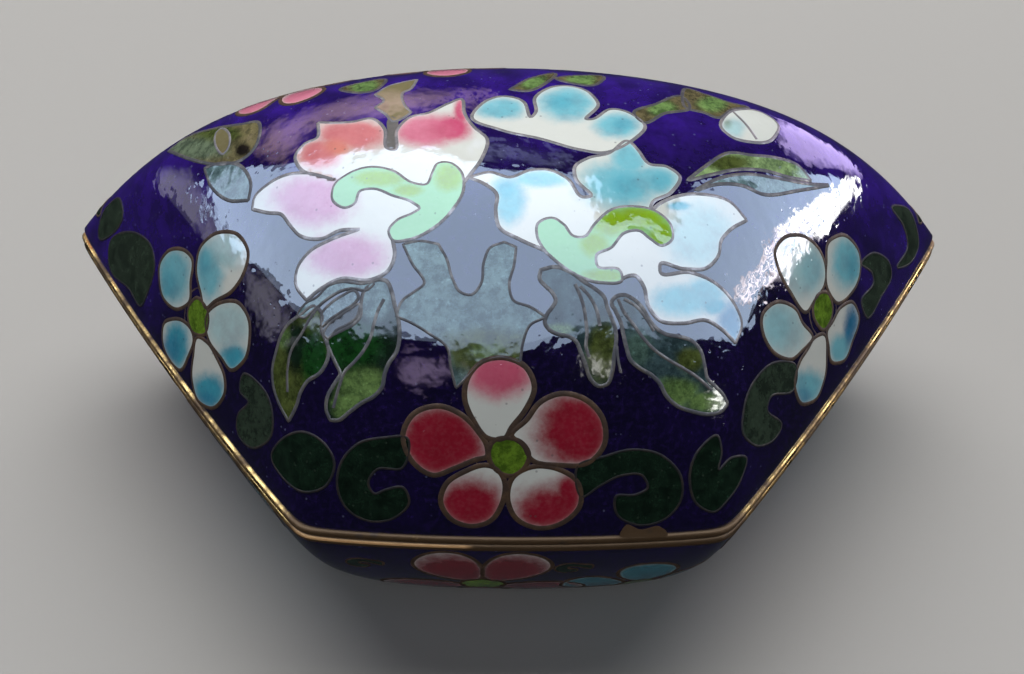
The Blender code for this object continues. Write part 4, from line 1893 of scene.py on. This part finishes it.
# %% Outlines of the highlights
SKY_PATCH = [
    (200, 194), (214, 180), (236, 170), (262, 166), (296, 162), (340, 154), (390, 148), (440, 150),
    (480, 166), (520, 170), (560, 174), (592, 188), (596, 214), (612, 226), (636, 222), (654, 230),
    (668, 240), (678, 226), (676, 204), (694, 188), (730, 180),
    (776, 176), (816, 174), (842, 180), (838, 204), (818, 230), (796, 250), (778, 266), (762, 288),
    (750, 318), (738, 336), (712, 340), (680, 338), (640, 328), (600, 326), (560, 334), (520, 344),
    (476, 345), (436, 342), (396, 338), (350, 332), (296, 312), (276, 288), (254, 264), (232, 246),
    (216, 222),
]
STRIP_PATCH = [
    (846, 178), (854, 174), (856, 190), (846, 214), (838, 236), (824, 240), (806, 236), (786, 232),
    (777, 230), (790, 216), (812, 204), (828, 192),
]
HAZE_PATCH = [
    (777, 229), (800, 233), (806, 246), (798, 262), (787, 282), (774, 282), (762, 292), (742, 306),
    (733, 304), (738, 286), (754, 272), (764, 250),
]
BACK_LEFT_PATCH = [
    (250, 152), (262, 128), (300, 110), (345, 97), (384, 90), (440, 88), (476, 92), (480, 104),
    (450, 106), (410, 118), (360, 124), (322, 128), (304, 146), (272, 162),
]
BACK_RIGHT_PATCH = [
    (778, 122), (800, 124), (832, 134), (862, 150), (880, 172), (866, 182), (844, 170), (818, 164),
    (790, 156), (780, 142),
]
LOW_PATCH = [(392, 360), (420, 355), (448, 362), (452, 378), (430, 388), (402, 385)]
SIDE_PATCH = [
    (124, 196), (150, 168), (190, 168), (212, 196), (226, 232), (254, 268), (292, 312), (290, 336),
    (268, 344), (250, 300), (226, 262), (190, 236), (146, 226),
]
BETWEEN_PATCH = [
    (466, 130), (500, 138), (540, 148), (580, 158), (566, 168), (530, 164), (496, 162), (474, 150),
]
MIDDLE_GLINT = [(590, 350), (598, 350), (604, 360), (605, 374), (600, 380), (594, 368)]
RIGHT_GLINT = [(703, 402), (712, 396), (719, 391), (726, 398), (724, 407), (712, 409)]

# %% The cards
mirror_card("sky_card", SKY_PATCH, (0.58, 0.74, 1.0), 6.5)
mirror_card("strip_card", STRIP_PATCH, (1.0, 1.0, 1.0), 30.0, 3.0)
mirror_card("haze_card", HAZE_PATCH, (1.0, 0.92, 1.0), 15.0, 3.0)
mirror_card("back_left_card", BACK_LEFT_PATCH, (1.0, 0.66, 0.72), 2.2, 14.0)
mirror_card("back_right_card", BACK_RIGHT_PATCH, (0.66, 0.52, 1.0), 5.0, 2.5)
mirror_card("low_card", LOW_PATCH, (0.8, 0.6, 1.0), 2.0, 12.0)
mirror_card("side_card", SIDE_PATCH, (0.85, 0.82, 1.0), 1.2, 12.0)
mirror_card("between_card", BETWEEN_PATCH, (0.55, 0.62, 1.0), 1.6, 10.0)
mirror_card("middle_glint_card", MIDDLE_GLINT, (1.0, 1.0, 0.95), 9.0, 4.0)
mirror_card("right_glint_card", RIGHT_GLINT, (1.0, 1.0, 0.95), 26.0, 2.0)
print("cards are laid out for the highlights")

# %% [markdown]
# The room sends back a very weak bluish light from all sides. The picture is shown without a film
# curve, so the glass keeps its full colour.

# %% Room light
world = bpy.data.worlds.new("room")
world.use_nodes = True
room = world.node_tree.nodes["Background"].inputs
room["Color"].default_value = (0.50, 0.55, 0.62, 1.0)
room["Strength"].default_value = 0.05
bpy.context.scene.world = world
bpy.context.scene.view_settings.view_transform = "Standard"
